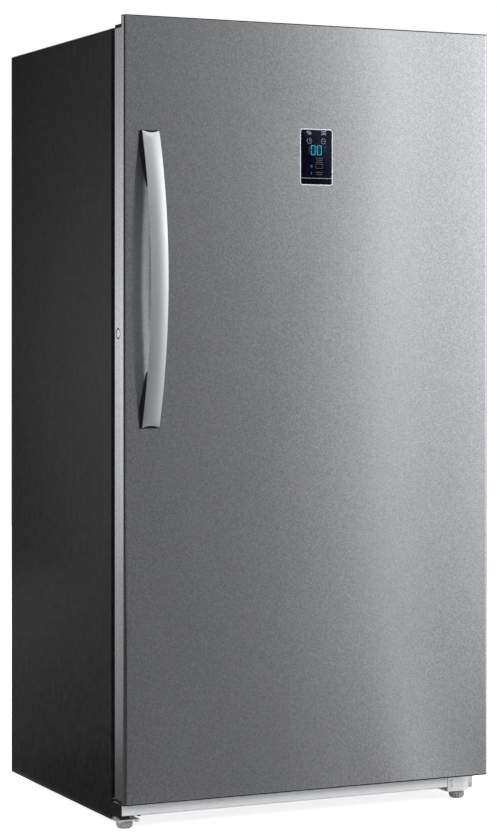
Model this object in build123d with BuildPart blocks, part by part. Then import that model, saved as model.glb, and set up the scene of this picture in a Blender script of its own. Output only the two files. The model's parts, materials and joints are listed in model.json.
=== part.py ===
from build123d import *
from math import asin, cos, degrees, radians, sin
import os

# Upright freezer with one full-height steel door, hinged on its right.
# Millimetres. X runs to the right as seen from the front, +Y to the back, +Z up.
# The origin is on the floor, under the middle of the overall box, handle included.

# ---- driving dimensions ----------------------------------------------------------------------
WIDTH = 832.0
HEIGHT = 1622.0
DOOR_DEPTH = 49.0            # front plane to the back edge of the door's side returns
SEAL_GAP = 19.5              # between the door's side returns and the cabinet front
CABINET_DEPTH = 593.5
HANDLE_STANDOFF = 59.0       # front plane to the handle's face at mid height

HALF = WIDTH / 2
TOTAL_DEPTH = HANDLE_STANDOFF + DOOR_DEPTH + SEAL_GAP + CABINET_DEPTH
BACK = TOTAL_DEPTH / 2
FRONT = -TOTAL_DEPTH / 2 + HANDLE_STANDOFF          # the door's front plane
DOOR_BACK = FRONT + DOOR_DEPTH
CABINET_FRONT = DOOR_BACK + SEAL_GAP

CABINET_TOP = 1602.0
CABINET_BOTTOM = 17.0
SHEET = 1.2

# insulated cell
FRAME_THICK = 8.0
FOAM_BOTTOM = 60.0
OPENING_HALF = 346.0
OPENING_LOW = 112.0
OPENING_HIGH = 1535.0
LINER_WALL = 2.0
LINER_BACK = BACK - 65.0
STEP_FRONT = 85.0            # the liner rises here, over the machine compartment
STEP_TOP = 380.0
COMPARTMENT_FRONT = 130.0
COMPARTMENT_TOP = 330.0
SHELF_LEVELS = (620.0, 900.0, 1190.0)
SHELF_FRONT = -140.0
SHELF_BACK = 238.0
LEDGE = 8.0

# door
SKIN = 1.0
SKIN_RADIUS = 8.0
SIDE_LOW = 63.0              # the deep side returns run between these
SIDE_HIGH = 1598.0
LIP_DEPTH = 13.0             # the front panel's own return, above and below them
PANEL_LOW = 57.5
PANEL_HIGH = HEIGHT - 2.0
CAP_TOP = 1605.0
DOOR_LOW = 55.0
LINER_PLATE = 2.5
DYKE_HALF = 326.0
DYKE_WIDTH = 20.0
DYKE_LOW = 128.0
DYKE_HIGH = 1518.0
DYKE_DEPTH = 36.5
GASKET_HALF = 385.0
GASKET_WIDTH = 16.0
GASKET_LOW = 80.0
GASKET_HIGH = 1583.0
BIN_LEVELS = (150.0, 490.0, 830.0, 1170.0)
BIN_HALF = 305.0
BIN_DEPTH = 98.0
BIN_HEIGHT = 120.0
BIN_WALL = 2.5

# hinge line
PIVOT_X = 390.0
PIVOT_Y = FRONT + 30.0
PIN_R = 5.0
RUNNING = 0.05               # radial clearance of every turning fit

# handle
HANDLE_X = -363.0
HANDLE_WIDTH = 37.0
HANDLE_LENGTH = 592.0
HANDLE_MID = 1098.0
HANDLE_THICK = 9.0
HANDLE_CROWN = 1.9           # how far its face curves back at each side
HANDLE_END_STANDOFF = 12.0
FISHMOUTH = 5.3

# display
DISPLAY_X = 8.8
DISPLAY_Z = 1351.0
GLASS_WIDTH = 71.0
GLASS_HEIGHT = 112.0
BEZEL = 3.0

# lock on the door's left edge
LOCK_Y = FRONT + 31.7
LOCK_Z = 990.0
LOCK_R = 10.8
CAM_LENGTH = 47.0
CAM_X = -393.0

# base
FOOT_R = 17.0
FOOT_HEIGHT = 17.0
STUD_R = 5.0
LEFT_FOOT_X = -391.0
RIGHT_FOOT_X = 373.0
FOOT_Y = FRONT + 60.0
KICK_Y = FRONT + 13.7
KICK_LOW = 33.0
KICK_HIGH = 53.0
KICK_RIGHT = 324.0
BRACKET_RIGHT = 388.0
BRACKET_RADIUS = 30.0        # its front right corner
BRACKET_LOW = 23.0
ROLLER_R = 15.0
ROLLER_WIDTH = 18.0
ROLLER_X = 362.0
ROLLER_Y = 300.0
AXLE_R = 3.5

# basket
BASKET_HALF = 322.0
BASKET_FRONT = -125.0
BASKET_BACK = 70.0
BASKET_LOW = 124.0
BASKET_TOP = 312.0
RAIL_TOP = 308.0

# machine compartment
DECK = 22.0
COMPRESSOR_X = 200.0
COMPRESSOR_Y = 240.0
FAN_Z = 150.0
FAN_SHAFT_R = 3.0
EVAPORATOR_FAN_Z = 1300.0
EVAPORATOR_FRONT = 245.0

# light switch
SWITCH_X = 260.0              # on the strip above the opening, clear of the gasket's swing
SWITCH_Z = 1551.0
SWITCH_HALF = 17.0
SWITCH_RISE = 5.0
PLUNGER_R = 3.5

os.makedirs("parts", exist_ok=True)


def save(piece, name):
    """Labels a finished piece and writes it under its own name."""
    piece.label = name
    export_step(piece, f"parts/{name}.step")


def facing(y):
    """The upright plane at depth y that looks to the front; a negative extrude goes back."""
    return Plane.XZ.offset(-y)


def level(z):
    """The level plane at height z."""
    return Plane.XY.offset(z)


def upright(x):
    """The plane across the width at x: its own x is the row's Y and its own y is the row's Z."""
    return Plane.YZ.offset(x)


def block(x0, x1, y0, y1, z0, z1, mode=Mode.ADD):
    """A box between two corners, for use inside a part."""
    with Locations(((x0 + x1) / 2, (y0 + y1) / 2, (z0 + z1) / 2)):
        Box(x1 - x0, y1 - y0, z1 - z0, mode=mode)


def panel(x0, x1, z0, z1, radius=0.0, mode=Mode.ADD):
    """A rectangle on an upright sketch, from its edges."""
    with Locations(((x0 + x1) / 2, (z0 + z1) / 2)):
        if radius:
            RectangleRounded(x1 - x0, z1 - z0, radius, mode=mode)
        else:
            Rectangle(x1 - x0, z1 - z0, mode=mode)


def side_profile(points):
    """A closed outline on a side plane, filled."""
    Polygon(*points, align=None)


# ---- cabinet ---------------------------------------------------------------------------------
def cell_profile(grow):
    """The liner's side outline, with the step over the compressor, grown outwards by grow."""
    front = CABINET_FRONT
    low = OPENING_LOW + LINER_WALL - grow
    high = OPENING_HIGH - LINER_WALL + grow
    back = LINER_BACK + grow
    step_y = STEP_FRONT + grow
    step_z = STEP_TOP - grow
    side_profile([(front, low), (step_y, low), (step_y, step_z), (back, step_z), (back, high), (front, high)])


def make_cabinet():
    """Outer shell, back, liner, foam and the steel frame that the door seals on."""
    depth = BACK - CABINET_FRONT
    with BuildPart() as shell:
        with BuildSketch(facing(CABINET_FRONT)):
            panel(-HALF, HALF, CABINET_BOTTOM, CABINET_TOP)
        extrude(amount=-depth)
        fillet(shell.edges().filter_by(Axis.Y).group_by(Axis.Z)[-1], 5)
        block(-HALF + SHEET, HALF - SHEET, CABINET_FRONT, BACK,
              CABINET_BOTTOM, CABINET_TOP - SHEET, mode=Mode.SUBTRACT)
        # hems turned in along the back edges
        for side in (-1, 1):
            inner, outer = sorted((side * (HALF - SHEET), side * (HALF - 14)))
            block(inner, outer, BACK - SHEET, BACK, CABINET_BOTTOM, CABINET_TOP - SHEET)
        block(-HALF + SHEET, HALF - SHEET, BACK - SHEET, BACK, CABINET_TOP - 14, CABINET_TOP - SHEET)
    save(shell.part, "cabinet_shell")

    inside = HALF - SHEET
    back_face = BACK - SHEET
    with BuildPart() as back_panel:
        with BuildSketch(facing(back_face)):
            panel(-inside, inside, COMPARTMENT_TOP, CABINET_TOP - SHEET)
        extrude(amount=SHEET)
        # shallow stiffening swages pressed towards the foam
        with BuildSketch(facing(back_face)):
            with GridLocations(230, 0, 3, 1):
                with Locations((0, (COMPARTMENT_TOP + CABINET_TOP) / 2)):
                    SlotOverall(1080, 24, rotation=90)
        extrude(amount=0.6, mode=Mode.SUBTRACT)
    save(back_panel.part, "back_panel")

    with BuildPart() as frame:
        with BuildSketch(facing(CABINET_FRONT)):
            panel(-inside, inside, FOAM_BOTTOM, CABINET_TOP - SHEET)
            panel(-OPENING_HALF, OPENING_HALF, OPENING_LOW, OPENING_HIGH, mode=Mode.SUBTRACT)
            panel(CAM_X - 5, CAM_X + 5, LOCK_Z - 14, LOCK_Z + 42, mode=Mode.SUBTRACT)
            with Locations((SWITCH_X, SWITCH_Z)):
                Rectangle(2 * SWITCH_HALF, 2 * SWITCH_RISE, mode=Mode.SUBTRACT)
        extrude(amount=-FRAME_THICK)
    save(frame.part, "front_frame")

    with BuildPart() as liner:
        with BuildSketch(upright(-OPENING_HALF)):
            cell_profile(LINER_WALL)
        extrude(amount=2 * OPENING_HALF)
        with BuildSketch(upright(-OPENING_HALF + LINER_WALL)):
            cell_profile(0)
        extrude(amount=2 * (OPENING_HALF - LINER_WALL), mode=Mode.SUBTRACT)
        # ledges that carry the shelves
        wall = OPENING_HALF - LINER_WALL
        for height in SHELF_LEVELS:
            block(-wall, -wall + LEDGE, SHELF_FRONT, SHELF_BACK, height - LEDGE, height)
            block(wall - LEDGE, wall, SHELF_FRONT, SHELF_BACK, height - LEDGE, height)
    save(liner.part, "inner_liner")

    # foam in slabs around the liner, with a hair's breadth between them
    seam = 0.2
    within = OPENING_HALF - seam
    front = CABINET_FRONT + FRAME_THICK
    rear = back_face - SHEET
    roof = CABINET_TOP - SHEET
    behind_step = STEP_FRONT + LINER_WALL
    behind_liner = LINER_BACK + LINER_WALL
    with BuildPart() as foam:
        for side in (-1, 1):
            inner, outer = sorted((side * inside, side * OPENING_HALF))
            block(inner, outer, front, rear, COMPARTMENT_TOP, roof)
            block(inner, outer, front, COMPARTMENT_FRONT, FOAM_BOTTOM, COMPARTMENT_TOP - seam)
        block(-within, within, front, rear, OPENING_HIGH, roof)
        block(-within, within, behind_liner, rear, COMPARTMENT_TOP, OPENING_HIGH - seam)
        block(-within, within, behind_step, behind_liner - seam, COMPARTMENT_TOP, STEP_TOP - LINER_WALL)
        block(-within, within, behind_step, COMPARTMENT_FRONT, OPENING_LOW, COMPARTMENT_TOP - seam)
        block(-within, within, front, COMPARTMENT_FRONT, FOAM_BOTTOM, OPENING_LOW - seam)
        # pockets behind the frame for the lock's cam and the light switch
        block(CAM_X - 6, CAM_X + 6, CABINET_FRONT, CABINET_FRONT + 22, LOCK_Z - 16, LOCK_Z + 44,
              mode=Mode.SUBTRACT)
        block(SWITCH_X - SWITCH_HALF - 3, SWITCH_X + SWITCH_HALF + 3, CABINET_FRONT, CABINET_FRONT + 42,
              SWITCH_Z - SWITCH_RISE - 1, SWITCH_Z + SWITCH_RISE + 1,
              mode=Mode.SUBTRACT)
    save(foam.part, "cabinet_insulation")

    with BuildPart() as strike:
        with BuildSketch(facing(CABINET_FRONT - 1)):
            panel(CAM_X - 12, CAM_X + 6, LOCK_Z - 28, LOCK_Z + 56, radius=4)
            panel(CAM_X - 4, CAM_X + 4, LOCK_Z - 12, LOCK_Z + 40, mode=Mode.SUBTRACT)
        extrude(amount=-1)
    save(strike.part, "lock_strike")


def make_base():
    """Folded floor under the foam, the frame with its foot bracket, kick plate, rollers and feet."""
    inside = HALF - SHEET
    with BuildPart() as floor:
        with BuildSketch(upright(-inside)):
            front = CABINET_FRONT + SHEET
            low = FOAM_BOTTOM
            high = COMPARTMENT_TOP
            rise = COMPARTMENT_FRONT
            end = BACK - SHEET
            side_profile([(front, low - SHEET), (rise + SHEET, low - SHEET), (rise + SHEET, high - SHEET),
                          (end, high - SHEET), (end, high), (rise, high), (rise, low), (front, low)])
        extrude(amount=2 * inside)
    save(floor.part, "floor_plate")

    rail_in = 378.0
    rail_width = 32.0
    rail_top = FOAM_BOTTOM - SHEET
    with BuildPart() as base:
        with BuildSketch(facing(CABINET_FRONT + SHEET)):
            for side in (-1, 1):
                web, flange = side * rail_in, side * (rail_in + rail_width)
                low, high = sorted((web, flange))
                panel(low, high, DECK - 2, rail_top)
                inner_low, inner_high = sorted((web + side * 2, flange))
                panel(inner_low, inner_high, DECK, rail_top - 2, mode=Mode.SUBTRACT)
        extrude(amount=-(BACK - CABINET_FRONT - 3 * SHEET))
        block(-rail_in, rail_in, CABINET_FRONT + SHEET, CABINET_FRONT + 4, DECK - 2, rail_top)
        # rear deck under the compressor, and the bracket of the left foot
        block(-rail_in, rail_in, COMPARTMENT_FRONT + 4, BACK - 4, DECK - 2, DECK)
        block(LEFT_FOOT_X - 21, LEFT_FOOT_X + 24, FOOT_Y - 22, FOOT_Y + 20, DECK - 5, DECK - 2)
        with Locations((LEFT_FOOT_X, FOOT_Y, DECK - 3.5)):
            Cylinder(STUD_R + RUNNING, 3, mode=Mode.SUBTRACT)
        # windows over the rollers and over both foot studs
        for side in (-1, 1):
            block(side * ROLLER_X - 12, side * ROLLER_X + 12, ROLLER_Y - 20, ROLLER_Y + 20, DECK - 6, DECK + 1,
                  mode=Mode.SUBTRACT)
        with Locations((LEFT_FOOT_X, FOOT_Y, DECK)):
            Cylinder(STUD_R + 1, 4.5, mode=Mode.SUBTRACT)
        block(RIGHT_FOOT_X - 25, BRACKET_RIGHT + 26, CABINET_FRONT, FOOT_Y + STUD_R + 4, DECK - 3, rail_top + 1,
              mode=Mode.SUBTRACT)
    save(base.part, "base_frame")

    with BuildPart() as kick:
        with BuildSketch(upright(-HALF + 1)):
            side_profile([(KICK_Y, KICK_LOW), (KICK_Y + 9, KICK_LOW), (KICK_Y + 9, KICK_LOW + 1.5),
                          (KICK_Y + 1.5, KICK_LOW + 1.5), (KICK_Y + 1.5, KICK_HIGH - 1.5),
                          (CABINET_FRONT, KICK_HIGH - 1.5), (CABINET_FRONT, KICK_HIGH), (KICK_Y, KICK_HIGH)])
        extrude(amount=KICK_RIGHT + HALF - 1)
        fillet(kick.edges().filter_by(Axis.X).group_by(Axis.Y)[0], 1)
    save(kick.part, "kick_plate")

    with BuildPart() as end_cap:
        block(-HALF, -HALF + 1, KICK_Y + 1, CABINET_FRONT, 27, KICK_HIGH + 1.5)
        block(-HALF + 1, -HALF + 18, KICK_Y + 1.5, CABINET_FRONT, 27, 32)
        block(-HALF + 1, -HALF + 18, CABINET_FRONT - 2, CABINET_FRONT, 32, KICK_HIGH - 1.5)
        block(-HALF + 1, -HALF + 18, KICK_Y + 22, KICK_Y + 24, 32, KICK_HIGH - 1.5)
    save(end_cap.part, "base_end_cap")

    with BuildPart() as roller_brackets:
        for side in (-1, 1):
            for cheek in (-1, 1):
                middle = side * ROLLER_X + cheek * (ROLLER_WIDTH / 2 + 1.5)
                block(middle - 1, middle + 1, ROLLER_Y - 14, ROLLER_Y + 14, 8, 48)
            block(side * ROLLER_X - ROLLER_WIDTH / 2 - 0.5, side * ROLLER_X + ROLLER_WIDTH / 2 + 0.5,
                  ROLLER_Y - 14, ROLLER_Y + 14, 46, 48)
        # riveted axles
        for side in (-1, 1):
            with BuildSketch(upright(side * ROLLER_X - ROLLER_WIDTH / 2 - 3.5)):
                with Locations((ROLLER_Y, ROLLER_R)):
                    Circle(AXLE_R)
            extrude(amount=ROLLER_WIDTH + 7)
    save(roller_brackets.part, "roller_brackets")

    for side, name in ((-1, "rear_roller_left"), (1, "rear_roller_right")):
        with BuildPart() as roller:
            with BuildSketch(upright(side * ROLLER_X - ROLLER_WIDTH / 2)):
                with Locations((ROLLER_Y, ROLLER_R)):
                    Circle(ROLLER_R)
                    Circle(AXLE_R + RUNNING, mode=Mode.SUBTRACT)
            extrude(amount=ROLLER_WIDTH)
            chamfer(roller.edges().filter_by(GeomType.CIRCLE).group_by(SortBy.RADIUS)[-1], 1.2)
        save(roller.part, name)

    for x, top, name in ((LEFT_FOOT_X, 44.0, "levelling_foot_left"), (RIGHT_FOOT_X, 47.0, "levelling_foot_right")):
        with BuildPart() as foot:
            with BuildSketch(level(3)):
                with Locations((x, FOOT_Y)):
                    Circle(FOOT_R)
                    with PolarLocations(FOOT_R + 0.9, 16):
                        Circle(2, mode=Mode.SUBTRACT)
            extrude(amount=FOOT_HEIGHT - 5)
            with BuildSketch(level(0)):
                with Locations((x, FOOT_Y)):
                    Circle(FOOT_R - 2)
            extrude(amount=3)
            with BuildSketch(level(FOOT_HEIGHT - 2)):
                with Locations((x, FOOT_Y)):
                    Circle(FOOT_R - 4)
            extrude(amount=2 - 0.3)
            with BuildSketch(level(FOOT_HEIGHT - 0.3)):
                with Locations((x, FOOT_Y)):
                    Circle(STUD_R)
            extrude(amount=top - FOOT_HEIGHT)
        save(foot.part, name)


def make_hinges():
    """Bottom bracket with the right foot's seat, top bracket and its cover, pins and screws."""
    plate = 3.0
    wall = 2.5
    middle = (KICK_RIGHT + 1 + BRACKET_RIGHT) / 2
    width = BRACKET_RIGHT - KICK_RIGHT - 1
    with BuildPart() as bottom:
        with BuildSketch(level(BRACKET_LOW)) as outline:
            with Locations((middle, (KICK_Y + CABINET_FRONT) / 2)):
                Rectangle(width, CABINET_FRONT - KICK_Y)
            fillet(outline.vertices().sort_by(Axis.X)[-2:].sort_by(Axis.Y)[0], BRACKET_RADIUS)
            fillet(outline.vertices().group_by(Axis.X)[0].sort_by(Axis.Y)[0], 2)
        extrude(amount=KICK_HIGH - BRACKET_LOW)
        with BuildSketch(level(BRACKET_LOW)) as hollow:
            with Locations((middle, (KICK_Y + CABINET_FRONT) / 2)):
                Rectangle(width - 2 * wall, CABINET_FRONT - KICK_Y - 2 * wall)
            fillet(hollow.vertices().sort_by(Axis.X)[-2:].sort_by(Axis.Y)[0], BRACKET_RADIUS - wall)
        extrude(amount=KICK_HIGH - BRACKET_LOW - plate, mode=Mode.SUBTRACT)
        # lower web that the right foot screws through
        block(KICK_RIGHT + 1, BRACKET_RIGHT, FOOT_Y - 14, CABINET_FRONT, BRACKET_LOW, BRACKET_LOW + plate)
        block(KICK_RIGHT + 1, BRACKET_RIGHT - 2, FOOT_Y - 14, FOOT_Y - 12, BRACKET_LOW, KICK_HIGH)
        with Locations((RIGHT_FOOT_X, FOOT_Y, BRACKET_LOW)):
            Cylinder(STUD_R + RUNNING, 40, mode=Mode.SUBTRACT)
        # ear under the hinge pin
        with BuildSketch(level(KICK_HIGH - plate)):
            with Locations((PIVOT_X, PIVOT_Y)):
                Circle(9)
            with Locations((PIVOT_X - 4, PIVOT_Y + 15)):
                Rectangle(26, 30)
        extrude(amount=plate)
        with Locations((PIVOT_X, PIVOT_Y, KICK_HIGH)):
            Cylinder(PIN_R + RUNNING, 10, mode=Mode.SUBTRACT)
        # screw holes in the front wall
        with BuildSketch(facing(KICK_Y)):
            with Locations((KICK_RIGHT + 12, 38)):
                with GridLocations(0, 11, 1, 2):
                    Circle(2 + RUNNING)
        extrude(amount=-wall, mode=Mode.SUBTRACT)
    save(bottom.part, "bottom_hinge_bracket")

    tongue_z = CAP_TOP + 1
    with BuildPart() as top:
        with BuildSketch(upright(PIVOT_X - 26)):
            side_profile([(PIVOT_Y, tongue_z), (CABINET_FRONT - 6, tongue_z), (CABINET_FRONT + 4, CABINET_TOP),
                          (CABINET_FRONT + 74, CABINET_TOP), (CABINET_FRONT + 74, CABINET_TOP + plate),
                          (CABINET_FRONT + 6, CABINET_TOP + plate), (CABINET_FRONT - 4, tongue_z + plate),
                          (PIVOT_Y, tongue_z + plate)])
        extrude(amount=32)
        with Locations((PIVOT_X, PIVOT_Y, tongue_z + plate / 2)):
            Cylinder(12, plate)
        with Locations((PIVOT_X, PIVOT_Y, tongue_z + plate / 2)):
            Cylinder(PIN_R + RUNNING, plate, mode=Mode.SUBTRACT)
    save(top.part, "top_hinge_bracket")

    cover_left = PIVOT_X - 42
    cover_right = PIVOT_X + 21
    cover_front = CABINET_FRONT + 0.5
    cover_back = CABINET_FRONT + 86
    cover_wall = 2.5
    with BuildPart() as cover:
        block(cover_left, cover_right, cover_front, cover_back, CABINET_TOP, CABINET_TOP + 17)
        fillet(cover.edges().group_by(Axis.Z)[-1], 4)
        block(cover_left + cover_wall, cover_right - cover_wall, cover_front + cover_wall,
              cover_back - cover_wall, CABINET_TOP - 1, CABINET_TOP + 17 - cover_wall, mode=Mode.SUBTRACT)
        # mouth that the bracket's tongue comes out of
        block(PIVOT_X - 27, PIVOT_X + 7, cover_front - 1, cover_front + cover_wall + 1,
              CABINET_TOP - 1, tongue_z + plate + 1, mode=Mode.SUBTRACT)
    save(cover.part, "top_hinge_cover")

    with BuildPart() as pins:
        with BuildSketch(level(KICK_HIGH - plate)):
            with Locations((PIVOT_X, PIVOT_Y)):
                Circle(PIN_R)
        extrude(amount=22)
        with BuildSketch(level(tongue_z + plate)):
            with Locations((PIVOT_X, PIVOT_Y)):
                Circle(PIN_R)
        extrude(amount=-22)
    save(pins.part, "hinge_pins")

    with BuildPart() as screws:
        # two in the bottom bracket's front wall and two on the top bracket
        with BuildSketch(facing(KICK_Y - 2)):
            with Locations((KICK_RIGHT + 12, 38)):
                with GridLocations(0, 11, 1, 2):
                    RegularPolygon(4, 6)
        extrude(amount=-2)
        with BuildSketch(facing(KICK_Y)):
            with Locations((KICK_RIGHT + 12, 38)):
                with GridLocations(0, 11, 1, 2):
                    Circle(2)
        extrude(amount=-6)
        with BuildSketch(level(CABINET_TOP + plate)):
            with Locations((PIVOT_X - 10, CABINET_FRONT + 24), (PIVOT_X - 10, CABINET_FRONT + 56)):
                RegularPolygon(5, 6)
        extrude(amount=4)
    save(screws.part, "hinge_screws")


# ---- door ------------------------------------------------------------------------------------
def skin_outline(depth):
    """Plan of the wrapped steel front: flat, with rounded corners and returns longer than this depth."""
    length = depth + 20
    with Locations((0, FRONT + length / 2)):
        RectangleRounded(WIDTH, length, SKIN_RADIUS)


def cap_rim():
    """Plan of the dark rim that an end cap shows above or below the front panel."""
    back_set = 0.4
    length = LIP_DEPTH - back_set
    with Locations((0, FRONT + back_set + length)):
        RectangleRounded(WIDTH - 2 * back_set, 2 * length, SKIN_RADIUS - back_set)
    with Locations((0, FRONT + LIP_DEPTH + length)):
        Rectangle(WIDTH, 2 * length, mode=Mode.SUBTRACT)


def make_door_shell():
    """Steel front, end caps, foam, inner liner with its dyke, and the magnetic gasket."""
    with BuildPart() as skin:
        for low, high, depth in ((PANEL_LOW, PANEL_HIGH, LIP_DEPTH), (SIDE_LOW, SIDE_HIGH, DOOR_DEPTH)):
            with BuildSketch(level(low)):
                skin_outline(depth)
                with Locations((0, FRONT + SKIN + 100)):
                    RectangleRounded(WIDTH - 2 * SKIN, 200, SKIN_RADIUS - SKIN, mode=Mode.SUBTRACT)
                with Locations((0, FRONT + depth + 50)):
                    Rectangle(WIDTH + 2, 100, mode=Mode.SUBTRACT)
            extrude(amount=high - low)
        with BuildSketch(facing(FRONT)):
            with Locations((DISPLAY_X, DISPLAY_Z)):
                Rectangle(GLASS_WIDTH + 2, GLASS_HEIGHT + 2)
        extrude(amount=-SKIN, mode=Mode.SUBTRACT)
        with BuildSketch(upright(-HALF)):
            with Locations((LOCK_Y, LOCK_Z)):
                Circle(LOCK_R + RUNNING)
        extrude(amount=SKIN, mode=Mode.SUBTRACT)
        # the hinge corner is left open above the side return
        block(HALF - 2, HALF + 1, FRONT + SKIN_RADIUS, FRONT + LIP_DEPTH + 1, SIDE_HIGH, PANEL_HIGH + 1,
              mode=Mode.SUBTRACT)
    save(skin.part, "door_skin")

    within = HALF - SKIN
    flange_back = DOOR_BACK
    with BuildPart() as top_cap:
        block(-within, within, FRONT + 8, flange_back - 0.2, SIDE_HIGH - 12, SIDE_HIGH)
        block(-HALF, HALF, FRONT + LIP_DEPTH, flange_back, SIDE_HIGH, CAP_TOP)
        block(-within, within, FRONT + 8, FRONT + LIP_DEPTH, SIDE_HIGH, PANEL_HIGH)
        block(-within + 8, within - 8, FRONT + SKIN, FRONT + 8, SIDE_HIGH - 12, PANEL_HIGH)
        block(-HALF, HALF, FRONT + LIP_DEPTH, FRONT + LIP_DEPTH + 2.5, CAP_TOP, HEIGHT)
        with BuildSketch(level(PANEL_HIGH)):
            cap_rim()
        extrude(amount=HEIGHT - PANEL_HIGH)
        # room for the hinge tongue to swing through
        block(PIVOT_X - 8, HALF + 1, FRONT + SKIN, DOOR_BACK + 1, CAP_TOP, CAP_TOP + 7, mode=Mode.SUBTRACT)
        with Locations((PIVOT_X, PIVOT_Y, CAP_TOP)):
            Cylinder(PIN_R + RUNNING, 60, mode=Mode.SUBTRACT)
    save(top_cap.part, "door_top_cap")

    with BuildPart() as bottom_cap:
        block(-within, within, FRONT + 8, flange_back - 0.2, SIDE_LOW, SIDE_LOW + 14)
        block(-HALF, HALF, FRONT + LIP_DEPTH, flange_back, DOOR_LOW + 2, SIDE_LOW)
        block(-within + 8, within - 8, FRONT + SKIN, FRONT + LIP_DEPTH, DOOR_LOW, SIDE_LOW + 14)
        with BuildSketch(level(DOOR_LOW)):
            cap_rim()
        extrude(amount=PANEL_LOW - DOOR_LOW)
        with Locations((PIVOT_X, PIVOT_Y, DOOR_LOW)):
            Cylinder(PIN_R + RUNNING, 60, mode=Mode.SUBTRACT)
    save(bottom_cap.part, "door_bottom_cap")

    with BuildPart() as foam:
        block(-within + 8, within - 8, FRONT + SKIN, DOOR_BACK, SIDE_LOW + 14, SIDE_HIGH - 12)
        block(-within, within, FRONT + SKIN + 8, DOOR_BACK - 0.5, SIDE_LOW + 14, SIDE_HIGH - 12)
        block(DISPLAY_X - 40, DISPLAY_X + 40, FRONT, FRONT + 18, DISPLAY_Z - 60, DISPLAY_Z + 60,
              mode=Mode.SUBTRACT)
        block(-HALF, CAM_X + 7, FRONT + 12, DOOR_BACK, LOCK_Z - 20, LOCK_Z + 56, mode=Mode.SUBTRACT)
        for end in (-1, 1):
            with Locations((PIVOT_X, PIVOT_Y, (SIDE_LOW if end < 0 else SIDE_HIGH))):
                Cylinder(PIN_R + 3, 60, mode=Mode.SUBTRACT)
    save(foam.part, "door_insulation")

    plate_back = DOOR_BACK + LINER_PLATE
    with BuildPart() as liner:
        with BuildSketch(facing(DOOR_BACK)):
            panel(-HALF + 8, HALF - 8, SIDE_LOW + 3, SIDE_HIGH - 2, radius=10)
            panel(CAM_X - 5, CAM_X + 5, LOCK_Z - 12, LOCK_Z + 52, mode=Mode.SUBTRACT)
        extrude(amount=-LINER_PLATE)
        with BuildSketch(facing(plate_back)):
            panel(-DYKE_HALF, DYKE_HALF, DYKE_LOW, DYKE_HIGH, radius=24)
            panel(-DYKE_HALF + DYKE_WIDTH, DYKE_HALF - DYKE_WIDTH, DYKE_LOW + DYKE_WIDTH, DYKE_HIGH - DYKE_WIDTH,
                  mode=Mode.SUBTRACT)
        extrude(amount=-DYKE_DEPTH, taper=3)
    save(liner.part, "door_liner")

    with BuildPart() as gasket:
        # base, narrow bellows and the wide magnet tube that meets the frame
        free = CABINET_FRONT - plate_back - 0.3
        for start, end, inset in ((0, 4.0, 0), (4.0, 9.0, 4.0), (9.0, free, 1.5)):
            with BuildSketch(facing(plate_back + start)):
                panel(-GASKET_HALF + inset, GASKET_HALF - inset, GASKET_LOW + inset, GASKET_HIGH - inset,
                      radius=8)
                wide = GASKET_WIDTH - inset
                panel(-GASKET_HALF + wide, GASKET_HALF - wide, GASKET_LOW + wide, GASKET_HIGH - wide,
                      radius=4, mode=Mode.SUBTRACT)
            extrude(amount=-(end - start))
    save(gasket.part, "door_gasket")


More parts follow.
